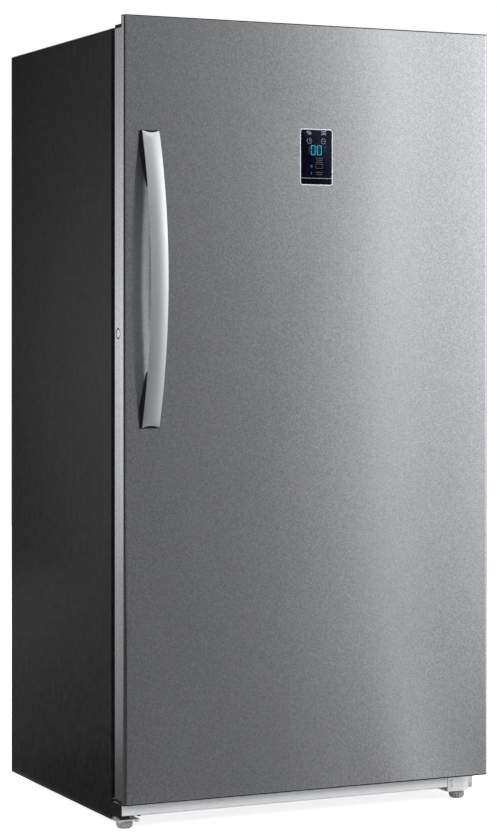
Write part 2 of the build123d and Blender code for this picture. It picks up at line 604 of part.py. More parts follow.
def make_door_fittings():
    """Bow handle and its end mounts, display, side lock and the storage bins."""
    sagitta = HANDLE_STANDOFF - HANDLE_END_STANDOFF
    outer_r = ((HANDLE_LENGTH / 2) ** 2 + sagitta ** 2) / (2 * sagitta)
    centre_y = FRONT - HANDLE_STANDOFF + outer_r
    high = HANDLE_MID + HANDLE_LENGTH / 2
    low = HANDLE_MID - HANDLE_LENGTH / 2
    mouth_r = ((HANDLE_WIDTH / 2) ** 2 + FISHMOUTH ** 2) / (2 * FISHMOUTH)

    # the bar's section, slightly crowned in front and rounded behind, turned about the bow's centre
    half_angle = degrees(asin(HANDLE_LENGTH / 2 / outer_r)) + 1
    lean = radians(half_angle)
    bow_centre = Vector(HANDLE_X, centre_y, HANDLE_MID)
    section = Plane(bow_centre, x_dir=(1, 0, 0), z_dir=(0, sin(lean), -cos(lean)))
    half_wide = HANDLE_WIDTH / 2
    rim = outer_r - HANDLE_CROWN
    back_rim = rim - 0.9
    with BuildPart() as bar:
        with BuildSketch(section):
            with BuildLine():
                ThreePointArc((-half_wide, rim), (0, outer_r), (half_wide, rim))
                Line((half_wide, rim), (half_wide, back_rim))
                ThreePointArc((half_wide, back_rim), (0, outer_r - HANDLE_THICK), (-half_wide, back_rim))
                Line((-half_wide, back_rim), (-half_wide, rim))
            make_face()
        revolve(axis=Axis(bow_centre, (-1, 0, 0)), revolution_arc=2 * half_angle)
        with Locations((HANDLE_X, FRONT - HANDLE_STANDOFF / 2, HANDLE_MID)):
            Box(HANDLE_WIDTH + 2, HANDLE_STANDOFF + 4, HANDLE_LENGTH, mode=Mode.INTERSECT)
        # both ends are cut to a hollow curve
        with BuildSketch(facing(FRONT)):
            with Locations((HANDLE_X, high - FISHMOUTH + mouth_r), (HANDLE_X, low + FISHMOUTH - mouth_r)):
                Circle(mouth_r)
        extrude(amount=HANDLE_STANDOFF, mode=Mode.SUBTRACT)
    save(bar.part, "handle_bar")

    with BuildPart() as mounts:
        with BuildSketch(upright(HANDLE_X - HANDLE_WIDTH / 2 + 1.5)):
            for middle in (high - 22, low + 22):
                with Locations((FRONT - 7, middle)):
                    Rectangle(14, 44)
            with Locations((centre_y, HANDLE_MID)):
                Circle(rim - 0.6, mode=Mode.INTERSECT)
        extrude(amount=HANDLE_WIDTH - 3)
        add(bar.part, mode=Mode.SUBTRACT)
    save(mounts.part, "handle_mounts")

    with BuildPart() as bezel:
        with BuildSketch(facing(FRONT)):
            with Locations((DISPLAY_X, DISPLAY_Z)):
                RectangleRounded(GLASS_WIDTH + 2 * BEZEL, GLASS_HEIGHT + 2 * BEZEL, 4)
        extrude(amount=0.8)
        with BuildSketch(facing(FRONT)):
            with Locations((DISPLAY_X, DISPLAY_Z)):
                Rectangle(GLASS_WIDTH + 2, GLASS_HEIGHT + 2)
        extrude(amount=-15)
        with BuildSketch(facing(FRONT - 0.8)):
            with Locations((DISPLAY_X, DISPLAY_Z)):
                RectangleRounded(GLASS_WIDTH, GLASS_HEIGHT, 2)
        extrude(amount=-13, mode=Mode.SUBTRACT)
    save(bezel.part, "display_bezel")

    with BuildPart() as glass:
        with BuildSketch(facing(FRONT - 0.5)):
            with Locations((DISPLAY_X, DISPLAY_Z)):
                RectangleRounded(GLASS_WIDTH, GLASS_HEIGHT, 2)
        extrude(amount=-3)
    save(glass.part, "display_glass")

    with BuildPart() as board:
        with BuildSketch(facing(FRONT + 7)):
            with Locations((DISPLAY_X, DISPLAY_Z)):
                Rectangle(GLASS_WIDTH - 6, GLASS_HEIGHT - 6)
        extrude(amount=-1.6)
        with BuildSketch(facing(FRONT + 7)):
            with Locations((DISPLAY_X, DISPLAY_Z + 24), (DISPLAY_X, DISPLAY_Z - 20)):
                Rectangle(38, 24)
        extrude(amount=3.5)
    save(board.part, "display_board")

    barrel_end = -HALF + 20
    with BuildPart() as barrel:
        with BuildSketch(upright(-HALF)):
            with Locations((LOCK_Y, LOCK_Z)):
                Circle(LOCK_R)
        extrude(amount=SKIN)
        with BuildSketch(upright(-HALF + SKIN)):
            with Locations((LOCK_Y, LOCK_Z)):
                Circle(9)
        extrude(amount=19)
        with BuildSketch(upright(-HALF)):
            with Locations((LOCK_Y, LOCK_Z)):
                Circle(6 + RUNNING)
        extrude(amount=20, mode=Mode.SUBTRACT)
    save(barrel.part, "lock_barrel")

    with BuildPart() as cylinder:
        with BuildSketch(upright(-HALF + 0.4)):
            with Locations((LOCK_Y, LOCK_Z)):
                Circle(6)
        extrude(amount=19.6)
        with BuildSketch(upright(barrel_end)):
            with Locations((LOCK_Y, LOCK_Z)):
                Circle(4)
        extrude(amount=CAM_X + 1.5 - barrel_end)
        with BuildSketch(upright(-HALF + 0.4)):
            with Locations((LOCK_Y, LOCK_Z)):
                Rectangle(1.6, 6.5)
                Circle(1.6)
        extrude(amount=5, mode=Mode.SUBTRACT)
    save(cylinder.part, "lock_cylinder")

    with BuildPart() as cam:
        with BuildSketch(upright(CAM_X - 1.5)):
            with Locations((LOCK_Y, LOCK_Z)):
                Circle(8)
            with Locations((LOCK_Y, LOCK_Z + CAM_LENGTH / 2 - 3)):
                Rectangle(10, CAM_LENGTH - 6)
            with Locations((LOCK_Y, LOCK_Z + CAM_LENGTH - 5)):
                Circle(5)
            with Locations((LOCK_Y, LOCK_Z)):
                Circle(4 + RUNNING, mode=Mode.SUBTRACT)
        extrude(amount=3)
    save(cam.part, "lock_cam")

    bin_front = DOOR_BACK + LINER_PLATE + 0.5
    bin_back = bin_front + BIN_DEPTH
    for number, base in enumerate(BIN_LEVELS, start=1):
        with BuildPart() as door_bin:
            with BuildSketch(level(base)):
                with Locations((0, (bin_front + bin_back) / 2)):
                    RectangleRounded(2 * BIN_HALF, BIN_DEPTH, 12)
            extrude(amount=BIN_HEIGHT)
            with BuildSketch(level(base + BIN_WALL)):
                with Locations((0, (bin_front + bin_back) / 2)):
                    RectangleRounded(2 * (BIN_HALF - BIN_WALL), BIN_DEPTH - 2 * BIN_WALL, 12 - BIN_WALL)
            extrude(amount=BIN_HEIGHT, mode=Mode.SUBTRACT)
            # the inner side is lower, so that a hand reaches in from the back of the door
            block(-BIN_HALF + 40, BIN_HALF - 40, bin_front - 1, bin_front + BIN_WALL + 1,
                  base + 70, base + BIN_HEIGHT + 1, mode=Mode.SUBTRACT)
            # sight slots along the retaining wall
            with BuildSketch(facing(bin_back)):
                with Locations((0, base + BIN_HEIGHT - 22)):
                    with GridLocations(62, 0, 9, 1):
                        SlotOverall(48, 8)
            extrude(amount=2 * BIN_WALL, mode=Mode.SUBTRACT)
        save(door_bin.part, f"door_bin_{number}")


# ---- inside ----------------------------------------------------------------------------------
def make_interior():
    """Shelves, pull-out basket on its rails, lamp, light switch and the evaporator bay."""
    shelf_half = OPENING_HALF - LINER_WALL - 6
    for number, base in enumerate(SHELF_LEVELS, start=1):
        with BuildPart() as glass:
            block(-shelf_half + 3, shelf_half - 3, SHELF_FRONT + 4, SHELF_BACK - 4, base + 4, base + 8)
        save(glass.part, f"shelf_glass_{number}")
        with BuildPart() as trim:
            block(-shelf_half, shelf_half, SHELF_FRONT, SHELF_BACK, base + 0.3, base + 12)
            fillet(trim.edges().filter_by(Axis.X).group_by(Axis.Y)[0], 4)
            block(-shelf_half + 3, shelf_half - 3, SHELF_FRONT + 4, SHELF_BACK - 4, base + 4, base + 8,
                  mode=Mode.SUBTRACT)
            block(-shelf_half + 14, shelf_half - 14, SHELF_FRONT + 18, SHELF_BACK - 14, base, base + 13,
                  mode=Mode.SUBTRACT)
        save(trim.part, f"shelf_frame_{number}")

    wall = OPENING_HALF - LINER_WALL
    with BuildPart() as rails:
        for side in (-1, 1):
            low, high = sorted((side * (BASKET_HALF + 4), side * wall))
            block(low, high, -200, 75, RAIL_TOP - 4, RAIL_TOP)
            low, high = sorted((side * (wall - 2), side * wall))
            block(low, high, -200, 75, RAIL_TOP - 18, RAIL_TOP - 4)
    save(rails.part, "basket_rails")

    with BuildPart() as basket:
        block(-BASKET_HALF, BASKET_HALF, BASKET_FRONT, BASKET_BACK, BASKET_LOW, BASKET_TOP)
        fillet(basket.edges().filter_by(Axis.Z), 14)
        with BuildSketch(level(BASKET_LOW + 3)):
            with Locations((0, (BASKET_FRONT + BASKET_BACK) / 2)):
                RectangleRounded(2 * BASKET_HALF - 6, BASKET_BACK - BASKET_FRONT - 6, 11)
        extrude(amount=BASKET_TOP, mode=Mode.SUBTRACT)
        # rim that hangs on the rails
        for side in (-1, 1):
            low, high = sorted((side * BASKET_HALF, side * (BASKET_HALF + 11)))
            block(low, high, BASKET_FRONT + 20, BASKET_BACK - 10, RAIL_TOP + 0.3, BASKET_TOP)
        # open slots in the front and back walls, and a hand hold
        with BuildSketch(facing(BASKET_FRONT)):
            with Locations((0, BASKET_LOW + 62)):
                with GridLocations(42, 0, 14, 1):
                    SlotOverall(86, 14, rotation=90)
            with Locations((0, BASKET_TOP - 30)):
                SlotOverall(150, 26)
        extrude(amount=-(BASKET_BACK - BASKET_FRONT), mode=Mode.SUBTRACT)
    save(basket.part, "freezer_basket")

    with BuildPart() as lens:
        block(-70, 70, -195, -145, OPENING_HIGH - LINER_WALL - 9, OPENING_HIGH - LINER_WALL)
        fillet(lens.edges().group_by(Axis.Z)[0], 4)
    save(lens.part, "lamp_lens")

    with BuildPart() as switch:
        block(SWITCH_X - SWITCH_HALF, SWITCH_X + SWITCH_HALF, CABINET_FRONT, CABINET_FRONT + 34,
              SWITCH_Z - SWITCH_RISE, SWITCH_Z + SWITCH_RISE)
        with BuildSketch(facing(CABINET_FRONT)):
            with Locations((SWITCH_X, SWITCH_Z)):
                Circle(PLUNGER_R + 0.1)
        extrude(amount=-32, mode=Mode.SUBTRACT)
    save(switch.part, "light_switch_housing")

    with BuildPart() as plunger:
        with BuildSketch(facing(DOOR_BACK + LINER_PLATE + 0.8)):
            with Locations((SWITCH_X, SWITCH_Z)):
                Circle(PLUNGER_R)
        extrude(amount=-40)
        fillet(plunger.edges().group_by(Axis.Y)[0], 1.5)
    save(plunger.part, "light_switch_plunger")

    grille_half = OPENING_HALF - LINER_WALL - 9
    cover_low = 420.0
    cover_high = 1500.0
    cover_wall = 2.5
    with BuildPart() as cover:
        block(-grille_half, grille_half, EVAPORATOR_FRONT, LINER_BACK, cover_low, cover_high)
        block(-grille_half + cover_wall, grille_half - cover_wall, EVAPORATOR_FRONT + cover_wall,
              LINER_BACK + 1, cover_low + cover_wall, cover_high - cover_wall, mode=Mode.SUBTRACT)
        # cold-air louvres, the fan grille and the return slots at the foot
        with BuildSketch(facing(EVAPORATOR_FRONT)):
            for height in (760, 1040, 1430):
                with Locations((0, height)):
                    with GridLocations(90, 0, 6, 1):
                        SlotOverall(70, 9)
            with Locations((0, EVAPORATOR_FAN_Z)):
                with GridLocations(0, 13, 1, 7):
                    SlotOverall(96, 7)
            with Locations((0, cover_low + 32)):
                with GridLocations(56, 0, 10, 1):
                    SlotOverall(36, 10, rotation=90)
        extrude(amount=-3, mode=Mode.SUBTRACT)
    save(cover.part, "evaporator_cover")

    with BuildPart() as coil:
        for row in range(15):
            x = -245 + 35 * row
            block(x - 0.5, x + 0.5, 252, 288, 540, 980)
        for height in range(580, 980, 80):
            with BuildSketch(upright(-255)):
                with Locations((262, height), (278, height)):
                    Circle(4)
            extrude(amount=510)
    save(coil.part, "evaporator_coil")

    with BuildPart() as motor:
        with BuildSketch(facing(LINER_BACK)):
            with Locations((0, EVAPORATOR_FAN_Z)):
                Circle(24)
        extrude(amount=14)
        with BuildSketch(facing(LINER_BACK - 14)):
            with Locations((0, EVAPORATOR_FAN_Z)):
                Circle(FAN_SHAFT_R)
        extrude(amount=18)
    save(motor.part, "evaporator_fan_motor")

    with BuildPart() as fan:
        with BuildSketch(facing(LINER_BACK - 17)):
            fan_blades((0, EVAPORATOR_FAN_Z), 58)
        extrude(amount=12)
    save(fan.part, "evaporator_fan")


def fan_blades(centre, radius):
    """Face of an axial fan, on the current sketch: a hub bored for its shaft and five swept paddles."""
    with Locations(centre):
        Circle(15)
        with PolarLocations(radius * 0.52, 5):
            Ellipse(radius * 0.46, radius * 0.26, rotation=28)
        Circle(FAN_SHAFT_R + RUNNING, mode=Mode.SUBTRACT)


# ---- machine compartment ---------------------------------------------------------------------
def make_machine():
    """Compressor on its grommets, finned condenser with its fan, drain pan and slotted rear cover."""
    pot_r = 88.0
    pot_low = 44.0
    pot_high = 222.0
    pot_wall = 5.0
    seam = 128.0
    middle = (COMPRESSOR_X, COMPRESSOR_Y)
    with BuildPart() as compressor:
        with BuildSketch(level(pot_low)):
            with Locations(middle):
                Circle(pot_r)
        extrude(amount=pot_high - pot_low)
        fillet(compressor.edges().group_by(Axis.Z)[-1], 46)
        fillet(compressor.edges().group_by(Axis.Z)[0], 12)
        # the weld seam where the upper and lower shells meet
        with BuildSketch(level(seam)):
            with Locations(middle):
                Circle(pot_r + 5)
        extrude(amount=5)
        # foot plate and the starter box
        block(COMPRESSOR_X - 100, COMPRESSOR_X + 100, COMPRESSOR_Y - 70, COMPRESSOR_Y + 70, 40, pot_low + 6)
        block(COMPRESSOR_X - 30, COMPRESSOR_X + 30, COMPRESSOR_Y - 104, COMPRESSOR_Y - 70, 70, 124)
        with BuildSketch(level(pot_low + 12)):
            with Locations(middle):
                Circle(pot_r - pot_wall)
        extrude(amount=pot_high - pot_low - 70, mode=Mode.SUBTRACT)
        block(COMPRESSOR_X - 101, COMPRESSOR_X + 101, COMPRESSOR_Y - 71, COMPRESSOR_Y - 60, 43, 51,
              mode=Mode.SUBTRACT)
    save(compressor.part, "compressor")

    with BuildPart() as grommets:
        with BuildSketch(level(DECK)):
            with Locations((COMPRESSOR_X, COMPRESSOR_Y)):
                with GridLocations(168, 112, 2, 2):
                    Circle(12)
        extrude(amount=6)
        with BuildSketch(level(DECK + 6)):
            with Locations((COMPRESSOR_X, COMPRESSOR_Y)):
                with GridLocations(168, 112, 2, 2):
                    Circle(9)
        extrude(amount=12)
    save(grommets.part, "compressor_mounts")

    with BuildPart() as condenser:
        for row in range(13):
            x = -330 + 18 * row
            block(x - 0.6, x + 0.6, 190, 325, 42, 262)
        for height in range(62, 262, 40):
            with BuildSketch(upright(-338)):
                with Locations((220, height), (258, height), (296, height)):
                    Circle(4)
            extrude(amount=232)
    save(condenser.part, "condenser")

    fan_y = 258.0
    with BuildPart() as shroud:
        with BuildSketch(upright(-98)):
            with Locations((fan_y, FAN_Z + 6)):
                Rectangle(180, 212)
            with Locations((fan_y, FAN_Z)):
                Circle(78, mode=Mode.SUBTRACT)
            with Locations((fan_y, FAN_Z)):
                Rectangle(12, 170)
                Rectangle(170, 12)
                Circle(24)
        extrude(amount=4)
        with BuildSketch(upright(-94)):
            with Locations((fan_y, FAN_Z)):
                Circle(22)
        extrude(amount=26)
        with BuildSketch(upright(-68)):
            with Locations((fan_y, FAN_Z)):
                Circle(FAN_SHAFT_R)
        extrude(amount=20)
        block(-98, -60, fan_y - 60, fan_y + 60, DECK, DECK + 3)
        block(-98, -94, fan_y - 60, fan_y + 60, DECK, 60)
    save(shroud.part, "condenser_fan_motor")

    with BuildPart() as fan:
        with BuildSketch(upright(-64)):
            fan_blades((fan_y, FAN_Z), 70)
        extrude(amount=14)
    save(fan.part, "condenser_fan")

    with BuildPart() as pan:
        block(-345, -104, 150, 345, DECK, DECK + 18)
        block(-343, -106, 152, 343, DECK + 2, DECK + 19, mode=Mode.SUBTRACT)
    save(pan.part, "drain_pan")

    with BuildPart() as rear_cover:
        with BuildSketch(facing(BACK - SHEET)):
            panel(-HALF + 12, HALF - 12, 30, COMPARTMENT_TOP - 6, radius=6)
            with Locations((-225, 180)):
                with GridLocations(52, 26, 6, 7):
                    SlotOverall(40, 7, mode=Mode.SUBTRACT)
            with Locations((225, 180)):
                with GridLocations(52, 26, 6, 7):
                    SlotOverall(40, 7, mode=Mode.SUBTRACT)
        extrude(amount=SHEET)
    save(rear_cover.part, "machine_cover")


make_cabinet()
make_base()
make_hinges()
make_door_shell()
make_door_fittings()
make_interior()
make_machine()
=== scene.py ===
"""Looks of an upright freezer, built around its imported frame.

The scene is in metres. Sizes are written in millimetres, apart from those of the studio, and angles in degrees.
X runs to the right as seen from the front, +Y to the back and +Z up.
"""
from __future__ import annotations

import json
import logging
from collections.abc import Callable
from dataclasses import dataclass, field
from enum import Enum
from math import asin, atan2, cos, pi, radians, sin, sqrt

import bmesh
import bpy
from mathutils import Matrix, Vector

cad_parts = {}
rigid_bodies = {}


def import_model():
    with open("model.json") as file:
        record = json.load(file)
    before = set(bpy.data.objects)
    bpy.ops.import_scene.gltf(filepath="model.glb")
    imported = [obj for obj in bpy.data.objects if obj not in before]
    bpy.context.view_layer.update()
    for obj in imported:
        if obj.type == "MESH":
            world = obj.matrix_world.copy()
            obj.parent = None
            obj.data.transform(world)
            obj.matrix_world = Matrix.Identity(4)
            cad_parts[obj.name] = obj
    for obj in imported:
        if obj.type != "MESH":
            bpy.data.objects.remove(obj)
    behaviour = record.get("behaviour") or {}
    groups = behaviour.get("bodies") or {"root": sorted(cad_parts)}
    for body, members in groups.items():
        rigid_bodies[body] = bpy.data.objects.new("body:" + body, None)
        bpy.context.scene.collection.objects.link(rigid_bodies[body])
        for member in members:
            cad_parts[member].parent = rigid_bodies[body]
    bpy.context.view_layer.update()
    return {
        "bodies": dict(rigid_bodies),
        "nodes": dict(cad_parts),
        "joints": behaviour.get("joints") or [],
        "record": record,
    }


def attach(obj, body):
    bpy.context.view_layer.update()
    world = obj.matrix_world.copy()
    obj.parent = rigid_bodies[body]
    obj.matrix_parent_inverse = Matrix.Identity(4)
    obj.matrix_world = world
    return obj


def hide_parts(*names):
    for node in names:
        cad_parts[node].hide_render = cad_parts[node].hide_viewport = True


log = logging.getLogger("freezer")
MM = 0.001
WHITE = (1.0, 1.0, 1.0, 1.0)
Colour = Place = tuple[float, float, float]
Pair = tuple[float, float]
Stops = tuple[Pair, ...]
Form = bmesh.types.BMesh
Thing = bpy.types.Object
Tree = bpy.types.NodeTree
Socket = bpy.types.NodeSocket
Sockets = bpy.types.bpy_prop_collection

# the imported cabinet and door, in millimetres
HALF_WIDTH = 416.0
DOOR_FRONT = -301.5
CABINET_FRONT = -233.0
BACK = 360.5
REAR_SHEET = BACK - 1.2
FOOT_Y = -241.5

# how near vertices are joined, in meshes made here and in packed ones, and the turn of an edge that stays smooth
WELD = 0.001
PACKED_WELD = 0.004
SMOOTH = 30.0
# the glow round the display's digits, in metres: what centres it, what stretches it, and its colour
HALO_SHIFT = (-8.2 * MM, 0.3022, -1.365)
HALO_SCALE = (50.0, 50.0, 62.0)
HALO_COLOUR = (0.004, 0.085, 0.15, 1.0)


# ---- shader nodes ------------------------------------------------------------------------------
class Graph:
    """Adds and links the nodes of one shader tree."""

    def __init__(self, tree: Tree) -> None:
        """Work on this tree."""
        self.tree = tree

    def feed(self, socket: Socket, value: object) -> None:
        """Link a socket into another, or give it a plain value."""
        if isinstance(value, Socket):
            self.tree.links.new(value, socket)
        elif value is not None:
            socket.default_value = value

    def node(self, kind: str, sockets: dict | None = None, **settings: object) -> bpy.types.Node:
        """Add one node.

        Args:
            kind: The node's type, without its ShaderNode prefix.
            sockets: Values or links for its inputs, by name or number.
            settings: Attributes of the node itself.

        Returns:
            The new node.
        """
        made = self.tree.nodes.new(f"ShaderNode{kind}")
        for name, value in settings.items():
            setattr(made, name, value)
        for name, value in (sockets or {}).items():
            self.feed(made.inputs[name], value)
        return made

    def math(self, operation: str, *values: object, clamp: bool = False) -> Socket:
        """Return the result of one Math node over these values or sockets."""
        made = self.node("Math", dict(enumerate(values)), operation=operation, use_clamp=clamp)
        return made.outputs[0]

    def times(self, *values: object, clamp: bool = False) -> Socket:
        """Return the product of two numbers or sockets."""
        return self.math("MULTIPLY", *values, clamp=clamp)

    def less(self, first: object, second: object) -> Socket:
        """Return the first number or socket less the second."""
        return self.math("SUBTRACT", first, second)

    def mapped(self, value: object, *ends: float) -> Socket:
        """Return a value moved from one range, held within it, to another: low and high of both."""
        return self.node("MapRange", {"Value": value, **dict(enumerate(ends, 1))}).outputs["Result"]

    def noise(self, vector: object, scale: object, detail: float = 2.0) -> Socket:
        """Return a noise value from 0 to 1 over these coordinates."""
        made = self.node("TexNoise", {"Vector": vector, "Scale": scale, "Detail": detail})
        return made.outputs["Fac"]

    def blend(self, factor: object, first: object, second: object) -> Socket:
        """Return a colour between two colours."""
        made = self.node("Mix", {0: factor, 6: first, 7: second}, data_type="RGBA")
        return made.outputs[2]

    def between(self, factor: object, low: object, high: object) -> Socket:
        """Return a number between two numbers."""
        made = self.node("Mix", {0: factor, 2: low, 3: high}, data_type="FLOAT")
        return made.outputs[0]

    def bump(self, strength: float, depth: float, height: Socket, normal: Socket) -> Socket:
        """Return a normal with a relief of this depth, in millimetres, laid over it."""
        made = self.node("Bump", {"Strength": strength, "Distance": depth * MM, "Height": height, "Normal": normal})
        return made.outputs["Normal"]

    def ramp(self, factor: object, stops: list[Pair]) -> Socket:
        """Return a grey ramp's colour; stops are (position, value) pairs."""
        made = self.node("ValToRGB", {"Fac": factor})
        elements = made.color_ramp.elements
        while len(elements) < len(stops):
            elements.new(0.5)
        for element, (position, value) in zip(elements, stops):
            element.position = position
            element.color = (value, value, value, 1.0)
        return made.outputs["Color"]


def new_material(name: str) -> tuple[bpy.types.Material, Graph, bpy.types.Node]:
    """Start a material, and return it with its graph and its Principled shader."""
    made = bpy.data.materials.new(name)
    made.use_nodes = True
    return made, Graph(made.node_tree), made.node_tree.nodes["Principled BSDF"]


class Effects:
    """Effects that several finishes share, each one a node group that is built once."""

    def __init__(self) -> None:
        """Build the groups."""
        self.surface = self._surface()
        self.dust = self._dust()
        self.wear = self._wear()

    @staticmethod
    def _group(name: str, colours: str, numbers: str,
               out: str = "Color Roughness") -> tuple[Tree, Graph, Sockets, Sockets]:
        """Start a group with named inputs and outputs, and return it with its graph, its source and its end."""
        tree = bpy.data.node_groups.new(name, "ShaderNodeTree")
        for kind, names in (("Vector", "Vector"), ("Color", colours), ("Float", numbers)):
            for socket in names.split():
                tree.interface.new_socket(name=socket, in_out="INPUT", socket_type=f"NodeSocket{kind}")
        for socket in out.split():
            kind = {"Color": "Color", "Normal": "Vector"}.get(socket, "Float")
            tree.interface.new_socket(name=socket, in_out="OUTPUT", socket_type=f"NodeSocket{kind}")
        return tree, Graph(tree), tree.nodes.new("NodeGroupInput").outputs, tree.nodes.new("NodeGroupOutput").inputs

    def _surface(self) -> Tree:
        """Colour, roughness and relief that vary over a surface in a fine and a broad pattern."""
        tree, graph, source, end = self._group(
            "surface_grain", "Light Dark", "Scale Contrast Smooth Rough Relief Depth", out="Color Roughness Normal")
        fine = graph.noise(source["Vector"], source["Scale"], 3.0)
        finer = graph.noise(source["Vector"], graph.times(source["Scale"], 3.1), 2.0)
        broad = graph.noise(source["Vector"], graph.times(source["Scale"], 0.012), 2.0)
        grain = graph.between(0.4, fine, finer)
        spread = graph.math("MULTIPLY_ADD", graph.less(grain, 0.5), source["Contrast"], 0.5, clamp=True)
        tone = graph.between(0.1, spread, broad)
        graph.feed(end["Color"], graph.blend(tone, source["Dark"], source["Light"]))
        gloss = graph.between(0.3, spread, broad)
        graph.feed(end["Roughness"], graph.between(gloss, source["Smooth"], source["Rough"]))
        bump = graph.node("Bump", {"Strength": source["Relief"], "Distance": source["Depth"], "Height": grain})
        graph.feed(end["Normal"], bump.outputs["Normal"])
        return tree

    def _dust(self) -> Tree:
        """A pale film that settles where a surface faces up."""
        tree, graph, source, end = self._group("settled_dust", "Color", "Roughness Amount")
        facing = graph.node("SeparateXYZ", {0: graph.node("NewGeometry").outputs["Normal"]}).outputs["Z"]
        patches = graph.noise(source["Vector"], 9.0, 5.0)
        mask = graph.times(graph.math("POWER", graph.math("MAXIMUM", facing, 0.0), 4.0), patches)
        mask = graph.times(mask, source["Amount"], clamp=True)
        graph.feed(end["Color"], graph.blend(mask, source["Color"], (0.62, 0.6, 0.57, 1.0)))
        graph.feed(end["Roughness"], graph.between(mask, source["Roughness"], 0.85))
        return tree

    def _wear(self) -> Tree:
        """A broken line of rubbed metal or pale plastic along the sharpest edges."""
        tree, graph, source, end = self._group("edge_wear", "Color Worn", "Amount", out="Color")
        edge = graph.node("NewGeometry").outputs["Pointiness"]
        edge = graph.times(graph.less(edge, 0.53), 9.0, clamp=True)
        broken = graph.math("MULTIPLY_ADD", graph.noise(source["Vector"], 55.0, 4.0), 2.2, -0.75, clamp=True)
        mask = graph.times(graph.times(edge, broken), source["Amount"], clamp=True)
        graph.feed(end["Color"], graph.blend(mask, source["Color"], source["Worn"]))
        return tree


class Pattern(Enum):
    """What a finish's own texture looks like, over the shared grain."""

    PLAIN = "plain"
    SPANGLE = "zinc crystals"
    BUBBLES = "foam cells"
    TRACKS = "printed circuit"
    RUBBED = "fine lines from polishing"
    LIT = "dark glass with a soft glow behind its digits"


@dataclass(frozen=True)
class Finish:
    """One finish: its colours, gloss and relief, at their real scale."""

    light: Colour
    dark: Colour
    metallic: float = 0.0
    smooth: float = 0.3
    rough: float = 0.4
    scale: float = 500.0
    contrast: float = 1.8
    relief: float = 0.1
    depth: float = 0.1
    specular: float = 0.5
    transmission: float = 0.0
    ior: float = 1.45
    glow: float = 0.0
    dust: float = 0.0
    wear: float = 0.0
    pattern: Pattern = Pattern.PLAIN

    def material(self, name: str, effects: Effects) -> bpy.types.Material:
        """Build the finish as a material.

        Args:
            name: The material slot that it is for.
            effects: The shared node groups.

        Returns:
            The material.
        """
        made, graph, shader = new_material(name)
        place = graph.node("TexCoord").outputs["Object"]
        colour, roughness, normal = self._group(graph, effects.surface, {
            "Vector": place, "Scale": self.scale, "Contrast": self.contrast, "Light": (*self.light, 1.0),
            "Dark": (*self.dark, 1.0), "Smooth": self.smooth, "Rough": self.rough, "Relief": self.relief,
            "Depth": self.depth * MM})
        colour, normal = self._texture(graph, place, colour, normal)
        if self.wear:
            worn = tuple(min(1.0, 0.25 + 2.0 * channel) for channel in self.light)
            colour, = self._group(graph, effects.wear, {
                "Vector": place, "Color": colour, "Worn": (*worn, 1.0), "Amount": self.wear})
        if self.dust:
            colour, roughness = self._group(graph, effects.dust, {
                "Vector": place, "Color": colour, "Roughness": roughness, "Amount": self.dust})
        for socket, value in (
                ("Base Color", colour), ("Roughness", roughness), ("Normal", normal), ("Metallic", self.metallic),
                ("Specular IOR Level", self.specular), ("IOR", self.ior), ("Transmission Weight", self.transmission)):
            graph.feed(shader.inputs[socket], value)
        if self.pattern is Pattern.LIT:
            self._halo(graph, shader, place)
        if self.glow:
            shader.inputs["Emission Color"].default_value = (*self.light, 1.0)
            shader.inputs["Emission Strength"].default_value = self.glow
        return made

    @staticmethod
    def _group(graph: Graph, tree: Tree, sockets: dict) -> list[Socket]:
        """Place a shared group with its own values, and return its outputs."""
        made = graph.tree.nodes.new("ShaderNodeGroup")
        made.node_tree = tree
        for name, value in sockets.items():
            graph.feed(made.inputs[name], value)
        return list(made.outputs)

    def _texture(self, graph: Graph, place: object, colour: object, normal: object) -> tuple[object, object]:
        """Lay the finish's own pattern over the shared grain, and return its colour and normal."""
        if self.pattern is Pattern.SPANGLE:
            cells = graph.node("TexVoronoi", {"Vector": place, "Scale": 190.0})
            tone = graph.node("SeparateXYZ", {0: cells.outputs["Color"]}).outputs["X"]
            colour = graph.blend(graph.times(tone, 0.45), colour, (*self.dark, 1.0))
        elif self.pattern is Pattern.BUBBLES:
            cells = graph.node("TexVoronoi", {"Vector": place, "Scale": 420.0}).outputs["Distance"]
            colour = graph.blend(graph.times(cells, 0.8, clamp=True), (*self.dark, 1.0), colour)
            normal = graph.bump(0.7, 0.5, cells, normal)
        elif self.pattern is Pattern.TRACKS:
            turned = graph.node("Mapping", {"Vector": place, "Rotation": (radians(90), 0.0, 0.0)})
            tracks = graph.node("TexBrick", {"Vector": turned.outputs["Vector"], "Scale": 260.0, "Mortar Size": 0.06,
                                             "Color1": WHITE, "Color2": WHITE, "Mortar": (0, 0, 0, 1)})
            colour = graph.blend(tracks.outputs["Color"], (0.35, 0.42, 0.16, 1.0), colour)
        elif self.pattern is Pattern.RUBBED:
            lines = graph.node("Mapping", {"Vector": place, "Scale": (1.0, 1.0, 0.02)}).outputs["Vector"]
            streaks = graph.noise(lines, 1900.0, 2.0)
            normal = graph.bump(0.05, 0.05, streaks, normal)
        return colour, normal

    @staticmethod
    def _halo(graph: Graph, shader: bpy.types.Node, vector: object) -> None:
        """Let a blue glow fade out around the display's digits."""
        centred = graph.node("Mapping", {"Vector": vector, "Location": HALO_SHIFT})
        stretched = graph.node("Mapping", {"Vector": centred.outputs["Vector"], "Scale": HALO_SCALE})
        near = graph.node("TexGradient", {"Vector": stretched.outputs["Vector"]}, gradient_type="QUADRATIC_SPHERE")
        graph.feed(shader.inputs["Emission Color"], graph.blend(near.outputs["Fac"], (0.0, 0.0, 0.0005, 1.0),
                                                                HALO_COLOUR))
        shader.inputs["Emission Strength"].default_value = 1.0


